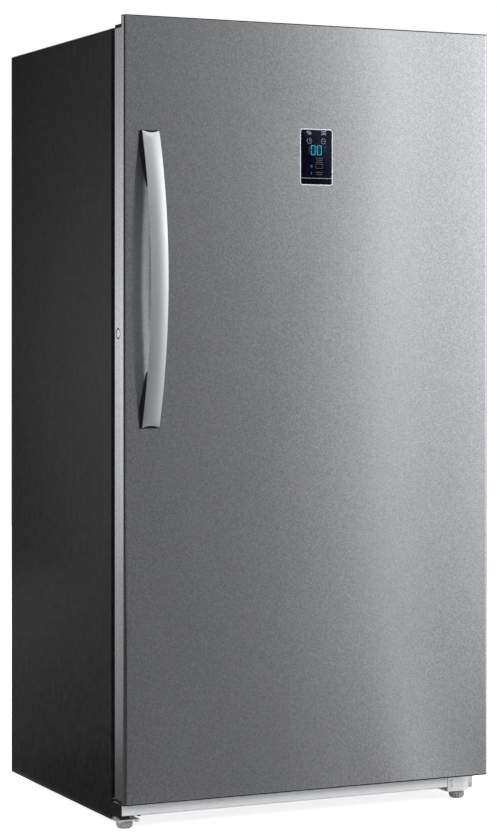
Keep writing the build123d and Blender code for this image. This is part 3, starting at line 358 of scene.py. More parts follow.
def ink(light: Colour, dark: Colour, glow: float = 0.0) -> Finish:
    """Return the flat finish of a print or a lamp behind the display's glass."""
    return Finish(light, dark, smooth=0.5, rough=0.6, scale=3000.0, relief=0.02, specular=0.1, glow=glow)


FINISHES: dict[str, Finish] = {
    "stainless_face": Finish((0.74, 0.745, 0.76), (0.45, 0.455, 0.47), metallic=1.0, smooth=0.12, rough=0.18,
                             scale=400.0, contrast=4.0, relief=0.06, depth=0.04),
    "handle_steel": Finish((0.78, 0.785, 0.79), (0.70, 0.705, 0.71), metallic=0.88, smooth=0.29, rough=0.35,
                           scale=900.0, relief=0.08, depth=0.03, pattern=Pattern.RUBBED),
    "dark_enamel": Finish((0.0125, 0.0125, 0.0135), (0.0080, 0.0080, 0.0088), smooth=0.15, rough=0.21, scale=700.0,
                          contrast=1.6, relief=0.06, depth=0.04, specular=0.06, dust=0.03, wear=0.1),
    "rear_steel": Finish((0.30, 0.31, 0.32), (0.24, 0.25, 0.26), metallic=0.75, smooth=0.38, rough=0.5, scale=160.0,
                         relief=0.15, depth=0.1, pattern=Pattern.SPANGLE, dust=0.3),
    "black_plastic": Finish((0.013, 0.013, 0.0145), (0.008, 0.008, 0.009), smooth=0.45, rough=0.6, scale=1400.0,
                            relief=0.25, depth=0.08, specular=0.15, dust=0.10),
    "white_liner": Finish((0.82, 0.83, 0.84), (0.79, 0.80, 0.81), smooth=0.22, rough=0.34, scale=260.0, relief=0.12,
                          depth=0.12),
    "clear_plastic": Finish((0.93, 0.96, 0.98), (0.90, 0.94, 0.97), smooth=0.04, rough=0.1, scale=200.0, relief=0.04,
                            depth=0.05, transmission=0.93, ior=1.49),
    "grey_plastic": Finish((0.47, 0.475, 0.48), (0.39, 0.395, 0.40), smooth=0.38, rough=0.52, scale=1100.0,
                           relief=0.2, depth=0.08, dust=0.1),
    "silver_trim": Finish((0.72, 0.725, 0.735), (0.64, 0.645, 0.655), metallic=0.1, smooth=0.34, rough=0.46,
                          scale=300.0, contrast=2.4, relief=0.08, depth=0.04, specular=0.3),
    "zinc_steel": Finish((0.86, 0.86, 0.855), (0.68, 0.68, 0.68), metallic=0.7, smooth=0.26, rough=0.42,
                         scale=300.0, relief=0.12, depth=0.06, pattern=Pattern.SPANGLE),
    "gasket_rubber": Finish((0.045, 0.045, 0.047), (0.033, 0.033, 0.035), smooth=0.5, rough=0.65, scale=900.0,
                            relief=0.1, depth=0.05),
    "foam": Finish((0.72, 0.62, 0.34), (0.62, 0.52, 0.26), smooth=0.8, rough=0.95, scale=300.0, relief=0.4,
                   depth=0.3, pattern=Pattern.BUBBLES),
    "shelf_glass": Finish((0.86, 0.95, 0.93), (0.84, 0.93, 0.91), smooth=0.02, rough=0.05, scale=60.0, relief=0.01,
                          depth=0.02, transmission=0.97, ior=1.5),
    "display_glass": Finish((0.0028, 0.004, 0.0115), (0.0022, 0.0034, 0.0095), smooth=0.22, rough=0.3, scale=300.0,
                            relief=0.03, depth=0.03, specular=0.08, pattern=Pattern.LIT),
    "circuit_board": Finish((0.03, 0.16, 0.07), (0.02, 0.12, 0.05), smooth=0.3, rough=0.45, scale=500.0,
                            pattern=Pattern.TRACKS),
    "lock_chrome": Finish((0.92, 0.92, 0.93), (0.84, 0.84, 0.85), metallic=0.6, smooth=0.08, rough=0.16, scale=700.0,
                          relief=0.04, depth=0.02),
    "aluminium": Finish((0.72, 0.73, 0.74), (0.64, 0.65, 0.66), metallic=1.0, smooth=0.28, rough=0.42, scale=600.0,
                        relief=0.1, depth=0.05, dust=0.15),
    "black_enamel": Finish((0.022, 0.022, 0.023), (0.015, 0.015, 0.016), smooth=0.2, rough=0.32, scale=500.0,
                           relief=0.15, depth=0.1, dust=0.35, wear=0.2),
    "black_rubber": Finish((0.028, 0.028, 0.029), (0.02, 0.02, 0.021), smooth=0.6, rough=0.75, scale=800.0,
                           relief=0.25, depth=0.1, dust=0.3),
    "frosted_lens": Finish((0.95, 0.95, 0.93), (0.92, 0.92, 0.90), smooth=0.35, rough=0.5, scale=900.0, relief=0.3,
                           depth=0.1, transmission=0.6),
    "pale_ink": ink((0.30, 0.32, 0.36), (0.25, 0.27, 0.31)),
    "faint_ink": ink((0.075, 0.08, 0.095), (0.055, 0.06, 0.07)),
    "blue_lamp": ink((0.03, 0.11, 0.20), (0.025, 0.09, 0.17), 0.12),
    "cyan_lamp": ink((0.05, 0.34, 0.50), (0.04, 0.29, 0.44), 0.36),
}


# ---- meshes --------------------------------------------------------------------------------------
def linked(name: str, data: bpy.types.ID) -> Thing:
    """Put a new object with this data into the scene."""
    made = bpy.data.objects.new(name, data)
    bpy.context.scene.collection.objects.link(made)
    return made


def finished(name: str, form: Form) -> bpy.types.Mesh:
    """Turn a working mesh into a plain one, and free it."""
    mesh = bpy.data.meshes.new(name)
    form.to_mesh(mesh)
    form.free()
    return mesh


@dataclass
class Workshop:
    """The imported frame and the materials, with the steps that every piece goes through."""

    frame: dict
    materials: dict[str, bpy.types.Material] = field(default_factory=dict)

    def __post_init__(self) -> None:
        """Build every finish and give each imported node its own."""
        effects = Effects()
        self.materials = {name: finish.material(name, effects) for name, finish in FINISHES.items()}
        self.slots = {part["node"]: part["material_slot"] for part in self.frame["record"]["subparts"]}
        self.body = {node: body for body, nodes in self.frame["record"]["behaviour"]["bodies"].items()
                     for node in nodes}
        for node, thing in self.frame["nodes"].items():
            thing.data.materials.clear()
            thing.data.materials.append(self.materials[self.slots[node]])

    def piece(self, name: str, form: Form, body: str, slot: str, stands_for: tuple[str, ...] = (),
              smooth: float = SMOOTH, finish: str = "") -> Thing:
        """Make a finished mesh a piece of the freezer.

        Args:
            name: The piece's name.
            form: Its mesh, which is freed.
            body: The body that it moves with.
            slot: The material slot of its finish.
            stands_for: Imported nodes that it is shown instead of.
            smooth: Edges flatter than this many degrees are shaded smooth.
            finish: A finish of its own, where it isn't the slot's.

        Returns:
            The new object.
        """
        mesh = finished(name, form)
        mesh.shade_smooth()
        mesh.set_sharp_from_angle(angle=radians(smooth))
        mesh.materials.append(self.materials[finish or slot])
        made = linked(name, mesh)
        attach(made, body)
        if stands_for:
            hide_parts(*stands_for)
        log.info("%s: %d faces on %s in %s", name, len(mesh.polygons), body, slot)
        return made

    def dress(self, node: str, edge: float, steps: int = 2) -> Thing:
        """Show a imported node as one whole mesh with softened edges.

        Args:
            node: The node that is shown in this way.
            edge: Width of the bevel, in millimetres, or nought for none.
            steps: Segments of the bevel.

        Returns:
            The new object.
        """
        form = bmesh.new()
        form.from_mesh(self.frame["nodes"][node].data)
        bmesh.ops.remove_doubles(form, verts=form.verts, dist=PACKED_WELD * MM)
        bmesh.ops.dissolve_limit(form, angle_limit=radians(0.6), verts=form.verts, edges=form.edges)
        made = self.piece(f"{node}_finished", form, self.body[node], self.slots[node], (node,), 35.0)
        if edge:
            soften(made, edge, steps)
        return made

    def dress_all(self, **bevels: float | tuple[float, int]) -> None:
        """Dress several nodes, each by its bevel's width or by (width, segments)."""
        for node, bevel in bevels.items():
            self.dress(node, *(bevel if isinstance(bevel, tuple) else (bevel,)))


def soften(made: Thing, edge: float, steps: int = 2, above: float = 35.0) -> None:
    """Bevel a piece's sharp edges by this many millimetres, where they turn by more than this many degrees."""
    bevel = made.modifiers.new("softened_edges", "BEVEL")
    bevel.width = edge * MM
    bevel.segments = steps
    bevel.limit_method = "ANGLE"
    bevel.angle_limit = radians(above)
    bevel.harden_normals = True


def thicken(made: Thing, thickness: float, way: float = -1.0) -> None:
    """Give a sheet this thickness, in millimetres: behind its faces, or before them where the way is 1."""
    sheet = made.modifiers.new("sheet_thickness", "SOLIDIFY")
    sheet.thickness, sheet.offset = thickness * MM, way


def moved(form: Form, by: Place) -> None:
    """Shift a whole mesh by millimetres."""
    bmesh.ops.translate(form, verts=form.verts, vec=Vector(by) * MM)


def turned(form: Form, angle: float, axis: str) -> None:
    """Turn a whole mesh by radians about an axis through the origin."""
    bmesh.ops.rotate(form, verts=form.verts, cent=(0, 0, 0), matrix=Matrix.Rotation(angle, 3, axis))


def welded(form: Form) -> None:
    """Join vertices that meet, and turn the faces outwards."""
    bmesh.ops.remove_doubles(form, verts=form.verts, dist=WELD * MM)
    bmesh.ops.recalc_face_normals(form, faces=form.faces)


def creases(form: Form, angle: float) -> list[bmesh.types.BMEdge]:
    """Return the edges of a mesh that turn by more than this many degrees."""
    return [edge for edge in form.edges if edge.is_manifold and edge.calc_face_angle(0) > radians(angle)]


def rounded(form: Form, parts: list, affect: str, width: float, segments: int) -> None:
    """Round these vertices or edges of a mesh off, by a width in millimetres."""
    bmesh.ops.bevel(form, geom=parts, affect=affect, offset=width * MM, segments=segments, profile=0.5, material=-1)


def box(form: Form, middle: Place, size: Place) -> None:
    """Add a box to a mesh, from its middle and size in millimetres."""
    bmesh.ops.create_cube(form, size=1.0, matrix=Matrix.LocRotScale(Vector(middle) * MM, None, Vector(size) * MM))


def slab(width: float, height: float, radius: float, corner_steps: int = 6, rims: Stops = ()) -> Form:
    """Start a mesh from one upright face with rounded corners, centred on the origin and looking to the front.

    Args:
        width: Size along X, in millimetres.
        height: Size along Z, in millimetres.
        radius: Corner radius, in millimetres.
        corner_steps: Segments of each corner.
        rims: Insets of the face, one after another, as (width of the rim, rise of the face).

    Returns:
        The mesh.
    """
    form = bmesh.new()
    bmesh.ops.create_grid(form, x_segments=1, y_segments=1, size=0.5)
    bmesh.ops.scale(form, vec=(width * MM, height * MM, 1.0), verts=form.verts)
    turned(form, radians(90), "X")
    rounded(form, form.verts[:], "VERTICES", radius, corner_steps)
    form.faces.ensure_lookup_table()
    face = form.faces[0]
    for inset, rise in rims:
        bmesh.ops.inset_region(form, faces=[face], thickness=inset * MM, depth=rise * MM, use_even_offset=True)
    return form


class Facing(Enum):
    """Which way a turned part looks: the turn, in degrees, and its axis, from one that looks up."""

    UP = (0.0, "X")
    DOWN = (180.0, "X")
    FRONT = (90.0, "X")
    BACK = (-90.0, "X")
    LEFT = (-90.0, "Y")
    RIGHT = (90.0, "Y")

    def at(self, place: Place, rise: float = 0.0) -> Matrix:
        """Return the matrix of a part at this place, in millimetres, raised along its own axis."""
        turn, axis = self.value
        return (Matrix.Translation(Vector(place) * MM) @ Matrix.Rotation(radians(turn), 4, axis)
                @ Matrix.Translation((0.0, 0.0, rise * MM)))


def drum(form: Form, place: Place, facing: Facing, rise: float, radius: float, depth: float,
         top: float | None = None, segments: int = 32) -> None:
    """Add a drum or cone to a mesh.

    Args:
        form: The mesh.
        place: Where its axis starts, in millimetres.
        facing: Which way the axis points.
        rise: How far along the axis the drum starts.
        radius: Its radius there.
        depth: Its length.
        top: Its radius at the far end, if that differs.
        segments: Sides.
    """
    bmesh.ops.create_cone(form, cap_ends=True, cap_tris=False, segments=segments, radius1=radius * MM,
                          radius2=(radius if top is None else top) * MM, depth=depth * MM,
                          matrix=facing.at(place, rise + depth / 2))


def join(form: Form, other: Form) -> None:
    """Move all of another mesh into this one."""
    passing = finished("passing", other)
    form.from_mesh(passing)
    bpy.data.meshes.remove(passing)


def turned_form(profile: list[Pair], place: Place, facing: Facing = Facing.UP,
                steps: int = 48) -> Form:
    """Turn a profile on a lathe.

    Args:
        profile: Points (radius, height), in millimetres; the first and last are on the axis in a closed shape.
        place: Where the axis starts.
        facing: Which way the axis points.
        steps: Sides of the turned shape.

    Returns:
        The mesh, with its normals outwards.
    """
    form = bmesh.new()
    verts = [form.verts.new((radius * MM, 0.0, height * MM)) for radius, height in profile]
    edges = [form.edges.new(pair) for pair in zip(verts, verts[1:])]
    bmesh.ops.spin(form, geom=[*verts, *edges], cent=(0, 0, 0), axis=(0, 0, 1), angle=2 * pi, steps=steps,
                   use_merge=True)
    welded(form)
    bmesh.ops.transform(form, matrix=facing.at(place), verts=form.verts)
    return form


def tube(route: list[Place], radius: float) -> Form:
    """Lead a round pipe of this radius smoothly past these points, in millimetres, and return its mesh."""
    curve = bpy.data.curves.new("pipe_route", "CURVE")
    curve.dimensions, curve.bevel_depth, curve.bevel_resolution = "3D", radius * MM, 4
    curve.use_fill_caps = True
    spline = curve.splines.new("NURBS")
    spline.points.add(len(route) - 1)
    for point, place in zip(spline.points, route):
        point.co = (*(Vector(place) * MM), 1.0)
    spline.order_u, spline.use_endpoint_u, spline.resolution_u = 3, True, 8
    holder = linked("pipe_route", curve)
    mesh = bpy.data.meshes.new_from_object(holder.evaluated_get(bpy.context.evaluated_depsgraph_get()))
    form = bmesh.new()
    form.from_mesh(mesh)
    welded(form)
    bpy.data.objects.remove(holder)
    bpy.data.curves.remove(curve)
    bpy.data.meshes.remove(mesh)
    return form


@dataclass(frozen=True)
class HexScrew:
    """Appliance screw: a hexagon with a chamfered top on a round flange."""

    flats: float = 8.0
    head: float = 3.6
    flange: float = 6.2
    rim: float = 1.0

    def add(self, form: Form, place: Place, facing: Facing) -> None:
        """Add one screw whose flange lies on this place."""
        corner = self.flats / sqrt(3)
        chamfer = min(0.7, self.head / 2)
        drum(form, place, facing, 0.0, self.flange, self.rim, self.flange - 0.5, 28)
        drum(form, place, facing, self.rim, corner, self.head - chamfer, segments=6)
        drum(form, place, facing, self.rim + self.head - chamfer, corner, chamfer, corner - chamfer, 6)

    def row(self, shop: Workshop, name: str, body: str, places: list[Place], facing: Facing,
            slot: str = "zinc_steel") -> None:
        """Make one piece of several screws."""
        form = bmesh.new()
        for place in places:
            self.add(form, place, facing)
        shop.piece(name, form, body, slot)


REAR_SCREW = HexScrew(7.0, 0.75, 5.4, 0.4)


# ---- door ------------------------------------------------------------------------------------------
@dataclass
class Handle:
    """Bowed steel bar with scooped and plugged ends, on two mounts."""

    x: float = -363.0
    width: float = 37.0
    length: float = 592.0
    middle: float = 1098.0
    standoff: float = 58.9
    end_standoff: float = 12.0
    thick: float = 9.0
    mouth: float = 5.3
    scoop: float = 14.0
    crown: float = 2.4
    ridge: float = 3.0
    steps: int = 96

    def radius(self) -> float:
        """Return the radius of the bow's face."""
        rise = self.standoff - self.end_standoff
        return ((self.length / 2) ** 2 + rise ** 2) / (2 * rise)

    def section(self) -> list[Pair]:
        """Return the bar's section as (across, height of the face) points: crowned in front, ridged behind."""
        half = self.width / 2
        top = self.radius()
        across = [half * sin(pi / 2 * t / 8) for t in range(-8, 9)]
        crown = [(u, top - self.crown * (u / half) ** 2) for u in across]
        edge = [(half, top - self.crown - 0.7)]
        slope = (self.thick - self.crown - 0.9) / (sqrt(half ** 2 + self.ridge ** 2) - self.ridge)
        back = [(u, top - self.thick + slope * (sqrt(u ** 2 + self.ridge ** 2) - self.ridge))
                for u in (0.98 * half * cos(pi * t / 16) for t in range(17))]
        return crown + edge + back + [(-half, top - self.crown - 0.7)]

    def build(self, shop: Workshop) -> None:
        """Turn the section about the bow's centre, scoop its ends and plug them."""
        radius = self.radius()
        half_angle = asin(self.length / 2 / radius)
        centre = Vector((self.x, DOOR_FRONT - self.standoff + radius, self.middle)) * MM
        form = bmesh.new()
        verts = [form.verts.new((u * MM, -r * MM, 0.0)) for u, r in self.section()]
        face = form.faces.new(verts)
        turned(form, half_angle, "X")
        bmesh.ops.spin(form, geom=[face, *face.edges, *face.verts], cent=(0, 0, 0), axis=(1, 0, 0),
                       angle=-2 * half_angle, steps=self.steps)
        bmesh.ops.translate(form, verts=form.verts, vec=centre)
        bmesh.ops.remove_doubles(form, verts=form.verts, dist=WELD * MM)
        for vert in form.verts:
            away = vert.co - centre
            if Vector((away.y, away.z)).length / MM < radius - self.crown - 0.3:
                continue
            across = away.x / (self.width / 2 * MM)
            near = 1 - (self.length / 2 - abs(away.z) / MM) / self.scoop
            if near > 0:
                vert.co.z -= self.mouth * MM * (1 - across * across) * near * (1 if away.z > 0 else -1)
        rims = creases(form, 50)
        rounded(form, rims, "EDGES", 0.5, 2)
        bmesh.ops.recalc_face_normals(form, faces=form.faces)
        plugs = bmesh.new()
        for end in [face for face in form.faces if len(face.verts) > 16]:
            bmesh.ops.inset_region(form, faces=[end], thickness=0.8 * MM, use_even_offset=True)
            out = 0.12 * MM * (1 if end.calc_center_median().z > centre.z else -1)
            plugs.faces.new([plugs.verts.new(vert.co + Vector((0, 0, out))) for vert in end.verts])
            bmesh.ops.triangulate(form, faces=[end])
        bmesh.ops.triangulate(plugs, faces=plugs.faces)
        shop.piece("handle_bow", form, "door", "handle_steel", ("handle_bar",), smooth=20)
        thicken(shop.piece("handle_end_plugs", plugs, "door", "black_plastic", smooth=40), 0.1)
        shop.dress("handle_mounts", 0.8)
        # painted shade: black wedges on the door near the handle's ends
        self.painted_shade_wedges(shop)

    def painted_shade_wedges(self, shop: Workshop) -> None:
        """Taper black wedges off both mounts along the door, towards the middle of the handle: painted shade for the
        handle's shadow and dark reflection on the door near its ends.
        """
        form = bmesh.new()
        for way in (-1, 1):
            verts = [form.verts.new(Vector((self.x + side * half, y, self.middle + way * z)) * MM)
                     for half, y, z in ((16.5, -301.6, 254), (16.5, -315.4, 254), (5, -301.6, 184), (5, -303, 184))
                     for side in (-1, 1)]
            bmesh.ops.convex_hull(form, input=verts)
        bmesh.ops.recalc_face_normals(form, faces=form.faces)
        soften(shop.piece("handle_mount_skirts", form, "door", "black_plastic"), 0.8)


@dataclass
class Display:
    """Dark glass with faint touch marks and two lit digits, in a pale frame."""

    x: float = 8.8
    z: float = 1351.0
    width: float = 71.0
    height: float = 112.0
    front: float = -302.0
    ink: float = -302.22
    frame: float = 1.8
    corner: float = 4.0

    def plate(self, form: Form, across: float, up: float, width: float, height: float,
              radius: float = 0.4, turn: float = 0.0) -> None:
        """Print a rounded bar on the glass.

        Args:
            form: The mesh of this ink.
            across: Its middle, to the right of the glass's own, in millimetres.
            up: Its middle, above the glass's own.
            width: Its width.
            height: Its height.
            radius: Its corner radius.
            turn: Its lean, in degrees.
        """
        mark = slab(width, height, radius, 3)
        turned(mark, radians(turn), "Y")
        moved(mark, (self.x + across, self.ink, self.z + up))
        join(form, mark)

    def ring(self, form: Form, across: float, up: float, radius: float, width: float = 0.7) -> None:
        """Print a ring on the glass, from its outer radius and its line's width."""
        mark = bmesh.new()
        ends = [mark.verts.new((r * MM, 0.0, 0.0)) for r in (radius - width, radius)]
        edge = mark.edges.new(ends)
        bmesh.ops.spin(mark, geom=[*ends, edge], cent=(0, 0, 0), axis=(0, 1, 0), angle=2 * pi, steps=36, use_merge=True)
        welded(mark)
        if mark.faces[:][0].normal.y > 0:
            bmesh.ops.reverse_faces(mark, faces=mark.faces)
        moved(mark, (self.x + across, self.ink, self.z + up))
        join(form, mark)

    def zero(self, form: Form, across: float, up: float) -> None:
        """Light a nought from six bars of a seven-bar digit."""
        width, height, line = 10.3, 19.9, 1.3
        for side in (-1, 1):
            for half in (-1, 1):
                self.plate(form, across + side * (width - line) / 2, up + half * height / 4, line,
                           height / 2 - 1.2, 0.5)
            self.plate(form, across, up + side * (height - line) / 2, width - line - 0.5, line, 0.5)

    def inks(self) -> dict[str, Form]:
        """Return what is printed or lit behind the glass, by finish."""
        pale, faint, blue, lit = (bmesh.new() for _ in range(4))
        # touch rings, one with a clock hand and one with a bar
        for across in (-16.3, 15.8):
            self.ring(pale, across, 32.7, 5.6)
        for bar in ((-16.3, 34.0, 0.8, 3.4, 0.3), (-15.1, 32.7, 2.8, 0.8, 0.3), (15.8, 32.7, 4.6, 0.9, 0.4)):
            self.plate(pale, *bar)
        # short bars over both rings
        for across, up, width in ((-18.6, 52.4, 7.4), (-17.1, 49.6, 10.6), (-16.0, 46.8, 8.0),
                                  (16.4, 52.4, 12.4), (16.4, 49.6, 9.0), (16.4, 46.8, 12.4)):
            self.plate(pale, across, up, width, 1.5, 0.6)
        # lit digits between a bracket and a degree ring
        for across in (-7.6, 6.3):
            self.zero(lit, across, 14.1)
        for bar in ((-17.2, 14.1, 0.8, 13.0, 0.3), (-16.1, 7.9, 2.6, 0.8, 0.3), (-16.1, 20.3, 2.6, 0.8, 0.3),
                    (19.2, 12.6, 4.4, 1.0, 0.4)):
            self.plate(faint, *bar)
        self.ring(blue, 19.2, 20.6, 1.9, 0.6)
        # three unlit settings, two with a small lamp, over the dividing line
        for up, lines in ((-6.1, 3), (-33.3, 2)):
            for line in range(lines):
                self.plate(faint, 6.1, up + 4.2 * ((lines - 1) / 2 - line), 17.0 - 4.0 * (line % 2), 1.8, 0.7)
        for side in (-1, 1):
            self.plate(faint, 6.1, -18.4 + side * 4.2, 17.0, 1.1, 0.4)
            self.plate(faint, 6.1 + side * 8.0, -18.4, 1.1, 7.6, 0.4)
        for turn in (0, 60, 120):
            self.plate(blue, -11.7, -18.9, 1.3, 6.4, 0.5, turn)
        self.plate(blue, -11.7, -33.3, 1.7, 6.0, 0.8)
        self.plate(pale, 0.0, -43.3, self.width - 0.6, 1.1, 0.2)
        return {"pale_ink": pale, "faint_ink": faint, "blue_lamp": blue, "cyan_lamp": lit}

    def build(self, shop: Workshop) -> None:
        """Make the frame, the glass and everything printed or lit on it."""
        tray = slab(self.width + 2 * self.frame, self.height + 2 * self.frame, self.corner + self.frame,
                    rims=((0.5, 0.8), (self.frame - 0.9, 0.0), (0.4, -0.7)))
        moved(tray, (self.x, DOOR_FRONT, self.z))
        shop.piece("display_frame", tray, "door", "silver_trim", ("display_bezel",))
        glass = slab(self.width - 0.4, self.height - 0.4, self.corner - 0.2, rims=((0.4, 0.15),))
        moved(glass, (self.x, self.front, self.z))
        thicken(shop.piece("display_pane", glass, "door", "display_glass", ("display_glass",), smooth=25), 0.35)
        for finish, form in self.inks().items():
            thicken(shop.piece(f"display_{finish}", form, "door", "display_glass", smooth=35, finish=finish), 0.04, 1.0)
        shop.dress("display_board", 0.2)


@dataclass
class Door:
    """Wrapped steel front with its caps, liner, gasket, lock and bins."""

    handle: Handle = field(default_factory=Handle)
    display: Display = field(default_factory=Display)

    def build(self, shop: Workshop) -> None:
        """Dress the door and its fittings."""
        shop.dress_all(door_skin=0.35, door_top_cap=0.6, door_bottom_cap=0.6, door_insulation=0.5,
                       door_liner=(1.5, 3), door_gasket=(1.2, 3), lock_cylinder=0.2, lock_cam=0.4)
        self.lock(shop)
        self.returns(shop)
        for number in range(1, 5):
            shop.dress(f"door_bin_{number}", 0.9)
        self.handle.build(shop)
        self.display.build(shop)

    def returns(self, shop: Workshop) -> None:
        """Fold the skin's narrow return over the foam beside the liner, with a gap at the lock's pocket."""
        form = bmesh.new()
        for side, low, high in ((1, 77.0, 1586.0), (-1, 77.0, 970.0), (-1, 1046.0, 1586.0)):
            box(form, (side * 411.1, -252.74, (low + high) / 2), (7.6, 0.4, high - low))
        shop.piece("door_skin_return", form, "door", "stainless_face")

    def lock(self, shop: Workshop) -> None:
        """Turn the lock's chrome barrel and the black ring round it, which is partly a seal and partly painted shadow
        round the barrel.
        """
        place = (-HALF_WIDTH, -269.8, 990.0)
        barrel = [(6.1, -20), (6.1, -0.5), (6.6, -0.1), (7.9, -0.1), (8.4, -0.5), (8.5, -0.75), (10.8, -0.75),
                  (10.8, -0.8), (9, -0.8), (9, -20), (6.1, -20)]
        ring = [(8.6, -0.7), (8.6, -0.3), (10.5, -0.3), (10.75, -0.5), (10.75, -0.7), (8.6, -0.7)]
        shop.piece("lock_barrel_turned", turned_form(barrel, place, Facing.LEFT, 40), "door", "lock_chrome",
                   ("lock_barrel",))
        # painted shadow: the black ring darkens the side face round the barrel
        shop.piece("lock_seal_and_shadow_ring", turned_form(ring, place, Facing.LEFT, 40), "door", "black_plastic")


# ---- cabinet ---------------------------------------------------------------------------------------
@dataclass
class Liner:
    """White inner box with coved corners, a step over the compressor and ledges for the shelves."""

    half: float = 344.0
    low: float = 114.0
    high: float = 1533.0
    back: float = 295.5
    step_front: float = 85.0
    step_top: float = 380.0
    cove: float = 10.0
    wall: float = 1.9
    shelves: tuple[float, ...] = (620.0, 900.0, 1190.0)
    ledge: tuple[float, float, float] = (8.0, -140.0, 238.0)

    def build(self, shop: Workshop) -> None:
        """Fold the inner skin, cove its corners and give it its thickness."""
        form = bmesh.new()
        outline = [(CABINET_FRONT, self.low), (self.step_front, self.low), (self.step_front, self.step_top),
                   (self.back, self.step_top), (self.back, self.high), (CABINET_FRONT, self.high)]
        verts = [form.verts.new((-self.half * MM, y * MM, z * MM)) for y, z in outline]
        side = form.faces.new(verts)
        out = bmesh.ops.extrude_face_region(form, geom=[side])
        across = [item for item in out["geom"] if isinstance(item, bmesh.types.BMVert)]
        bmesh.ops.translate(form, verts=across, vec=(2 * self.half * MM, 0, 0))
        bmesh.ops.recalc_face_normals(form, faces=form.faces)
        mouth = [face for face in form.faces if all(v.co.y < (CABINET_FRONT + 1) * MM for v in face.verts)]
        bmesh.ops.delete(form, geom=mouth, context="FACES_ONLY")
        nose = Vector((self.step_front, self.step_top)) * MM
        inner = [edge for edge in creases(form, 40) if any((vert.co.yz - nose).length > MM for vert in edge.verts)]
        rounded(form, inner, "EDGES", self.cove, 4)
        bmesh.ops.reverse_faces(form, faces=form.faces)
        skin = shop.piece("liner_skin", form, "cabinet", "white_liner", ("inner_liner",), smooth=50)
        soften(skin, 1.2, 3, 60.0)
        thicken(skin, self.wall)
        depth, front, rear = self.ledge
        ledges = bmesh.new()
        for height in self.shelves:
            for way in (-1, 1):
                box(ledges, (way * (self.half - depth / 2), (front + rear) / 2, height - depth / 2),
                    (depth, rear - front, depth))
        soften(shop.piece("shelf_ledges", ledges, "cabinet", "white_liner", smooth=50), 2.0, 3)


@dataclass
class Cabinet:
    """Enamelled outer shell, steel back, front frame and the liner."""

    liner: Liner = field(default_factory=Liner)

    def build(self, shop: Workshop) -> None:
        """Dress the sheets and add the fasteners of the back."""
        shop.dress("cabinet_shell", 0.35)
        shop.dress("back_panel", 0).data.shade_flat()
        shop.dress_all(front_frame=0.5, cabinet_insulation=0, lock_strike=0.3, floor_plate=0.3)
        self.liner.build(shop)
        edges = [(x, REAR_SHEET, z) for x in (-395.0, 395.0) for z in (350.0, 660.0, 970.0, 1280.0, 1580.0)]
        edges += [(x, REAR_SHEET, z) for x in (-115.0, 115.0) for z in (346.0, 1584.0)]
        REAR_SCREW.row(shop, "back_panel_screws", "cabinet", edges, Facing.BACK)


# ---- base ------------------------------------------------------------------------------------------
@dataclass
class Foot:
    """Ribbed levelling foot on a threaded stud."""

    x: float
    top: float
    y: float = FOOT_Y
    radius: float = 17.0
    ribs: int = 16

    def build(self, shop: Workshop, side: str) -> None:
        """Turn the foot, press its ribs and cut the stud's thread."""
        r, top, start = self.radius, 17, 16
        profile = [(0, 0), (r - 6.5, 0), (r - 4.6, 0.5), (r - 2.8, 1.8), (r - 1.4, 3.8), (r - 0.4, 6.4), (r, 9),
                   (r - 0.1, 11.4), (r - 0.8, 13.3), (r - 2.2, 14.6), (r - 4.0, 15), (r - 4.3, 16.6), (r - 5, top),
                   (0, top)]
        form = turned_form(profile, (0, 0, 0), steps=self.ribs * 8)
        for vert in form.verts:
            reach, height = vert.co.xy.length / MM, vert.co.z / MM
            if 1 < height < 14 and reach > r - 4:
                press = (0.5 + 0.5 * cos(self.ribs * atan2(vert.co.y, vert.co.x))) ** 1.5
                vert.co.xy *= 1 - 0.12 * press * min(1.0, (14 - height) / 3)
        moved(form, (self.x, self.y, 0))
        shop.piece(f"foot_pad_{side}", form, f"foot_{side}", "grey_plastic", (f"levelling_foot_{side}",), smooth=40)
        pitch, stud = 1.5, 5.0
        thread = [(0, start)]
        turns = int((self.top - top) / pitch)
        for turn in range(turns):
            thread += [(stud - 0.6, start + pitch * turn), (stud, start + pitch * (turn + 0.5))]
        thread += [(stud - 0.6, start + pitch * turns), (stud - 1.2, self.top), (0, self.top)]
        shop.piece(f"foot_stud_{side}", turned_form(thread, (self.x, self.y, 0), steps=32), f"foot_{side}",
                   "zinc_steel", smooth=25)


@dataclass
class Base:
    """Kick plate, end cap, frame, feet and rollers."""

    left: Foot = field(default_factory=lambda: Foot(-391.0, 44.0))
    right: Foot = field(default_factory=lambda: Foot(373.0, 47.0))
    bolt: HexScrew = HexScrew(7.0, 2.6, 4.6, 0.6)

    def build(self, shop: Workshop) -> None:
        """Dress the base and add its bolts."""
        shop.dress_all(kick_plate=(0.4, 3), base_end_cap=0.35, base_frame=0.4, roller_brackets=0.4,
                       rear_roller_left=0.6, rear_roller_right=0.6)
        self.left.build(shop, "left")
        self.right.build(shop, "right")
        lip = slab(42.0, 10.0, 3.0, 4, ((0.6, 0.5),))
        turned(lip, radians(-90), "Z")
        moved(lip, (-411.0, FOOT_Y, 20.0))
        thicken(shop.piece("foot_bracket_lip", lip, "cabinet", "zinc_steel"), 1.5)
        self.bolt.row(shop, "foot_bracket_bolts", "cabinet", [(-407.5, -258.5, 17), (-371.5, -258.5, 17)], Facing.DOWN)
        self.bolt.row(shop, "kick_plate_screws", "cabinet", [(319.0, -281.5, 33), (-376.0, -281.5, 33)], Facing.DOWN,
                      "black_enamel")


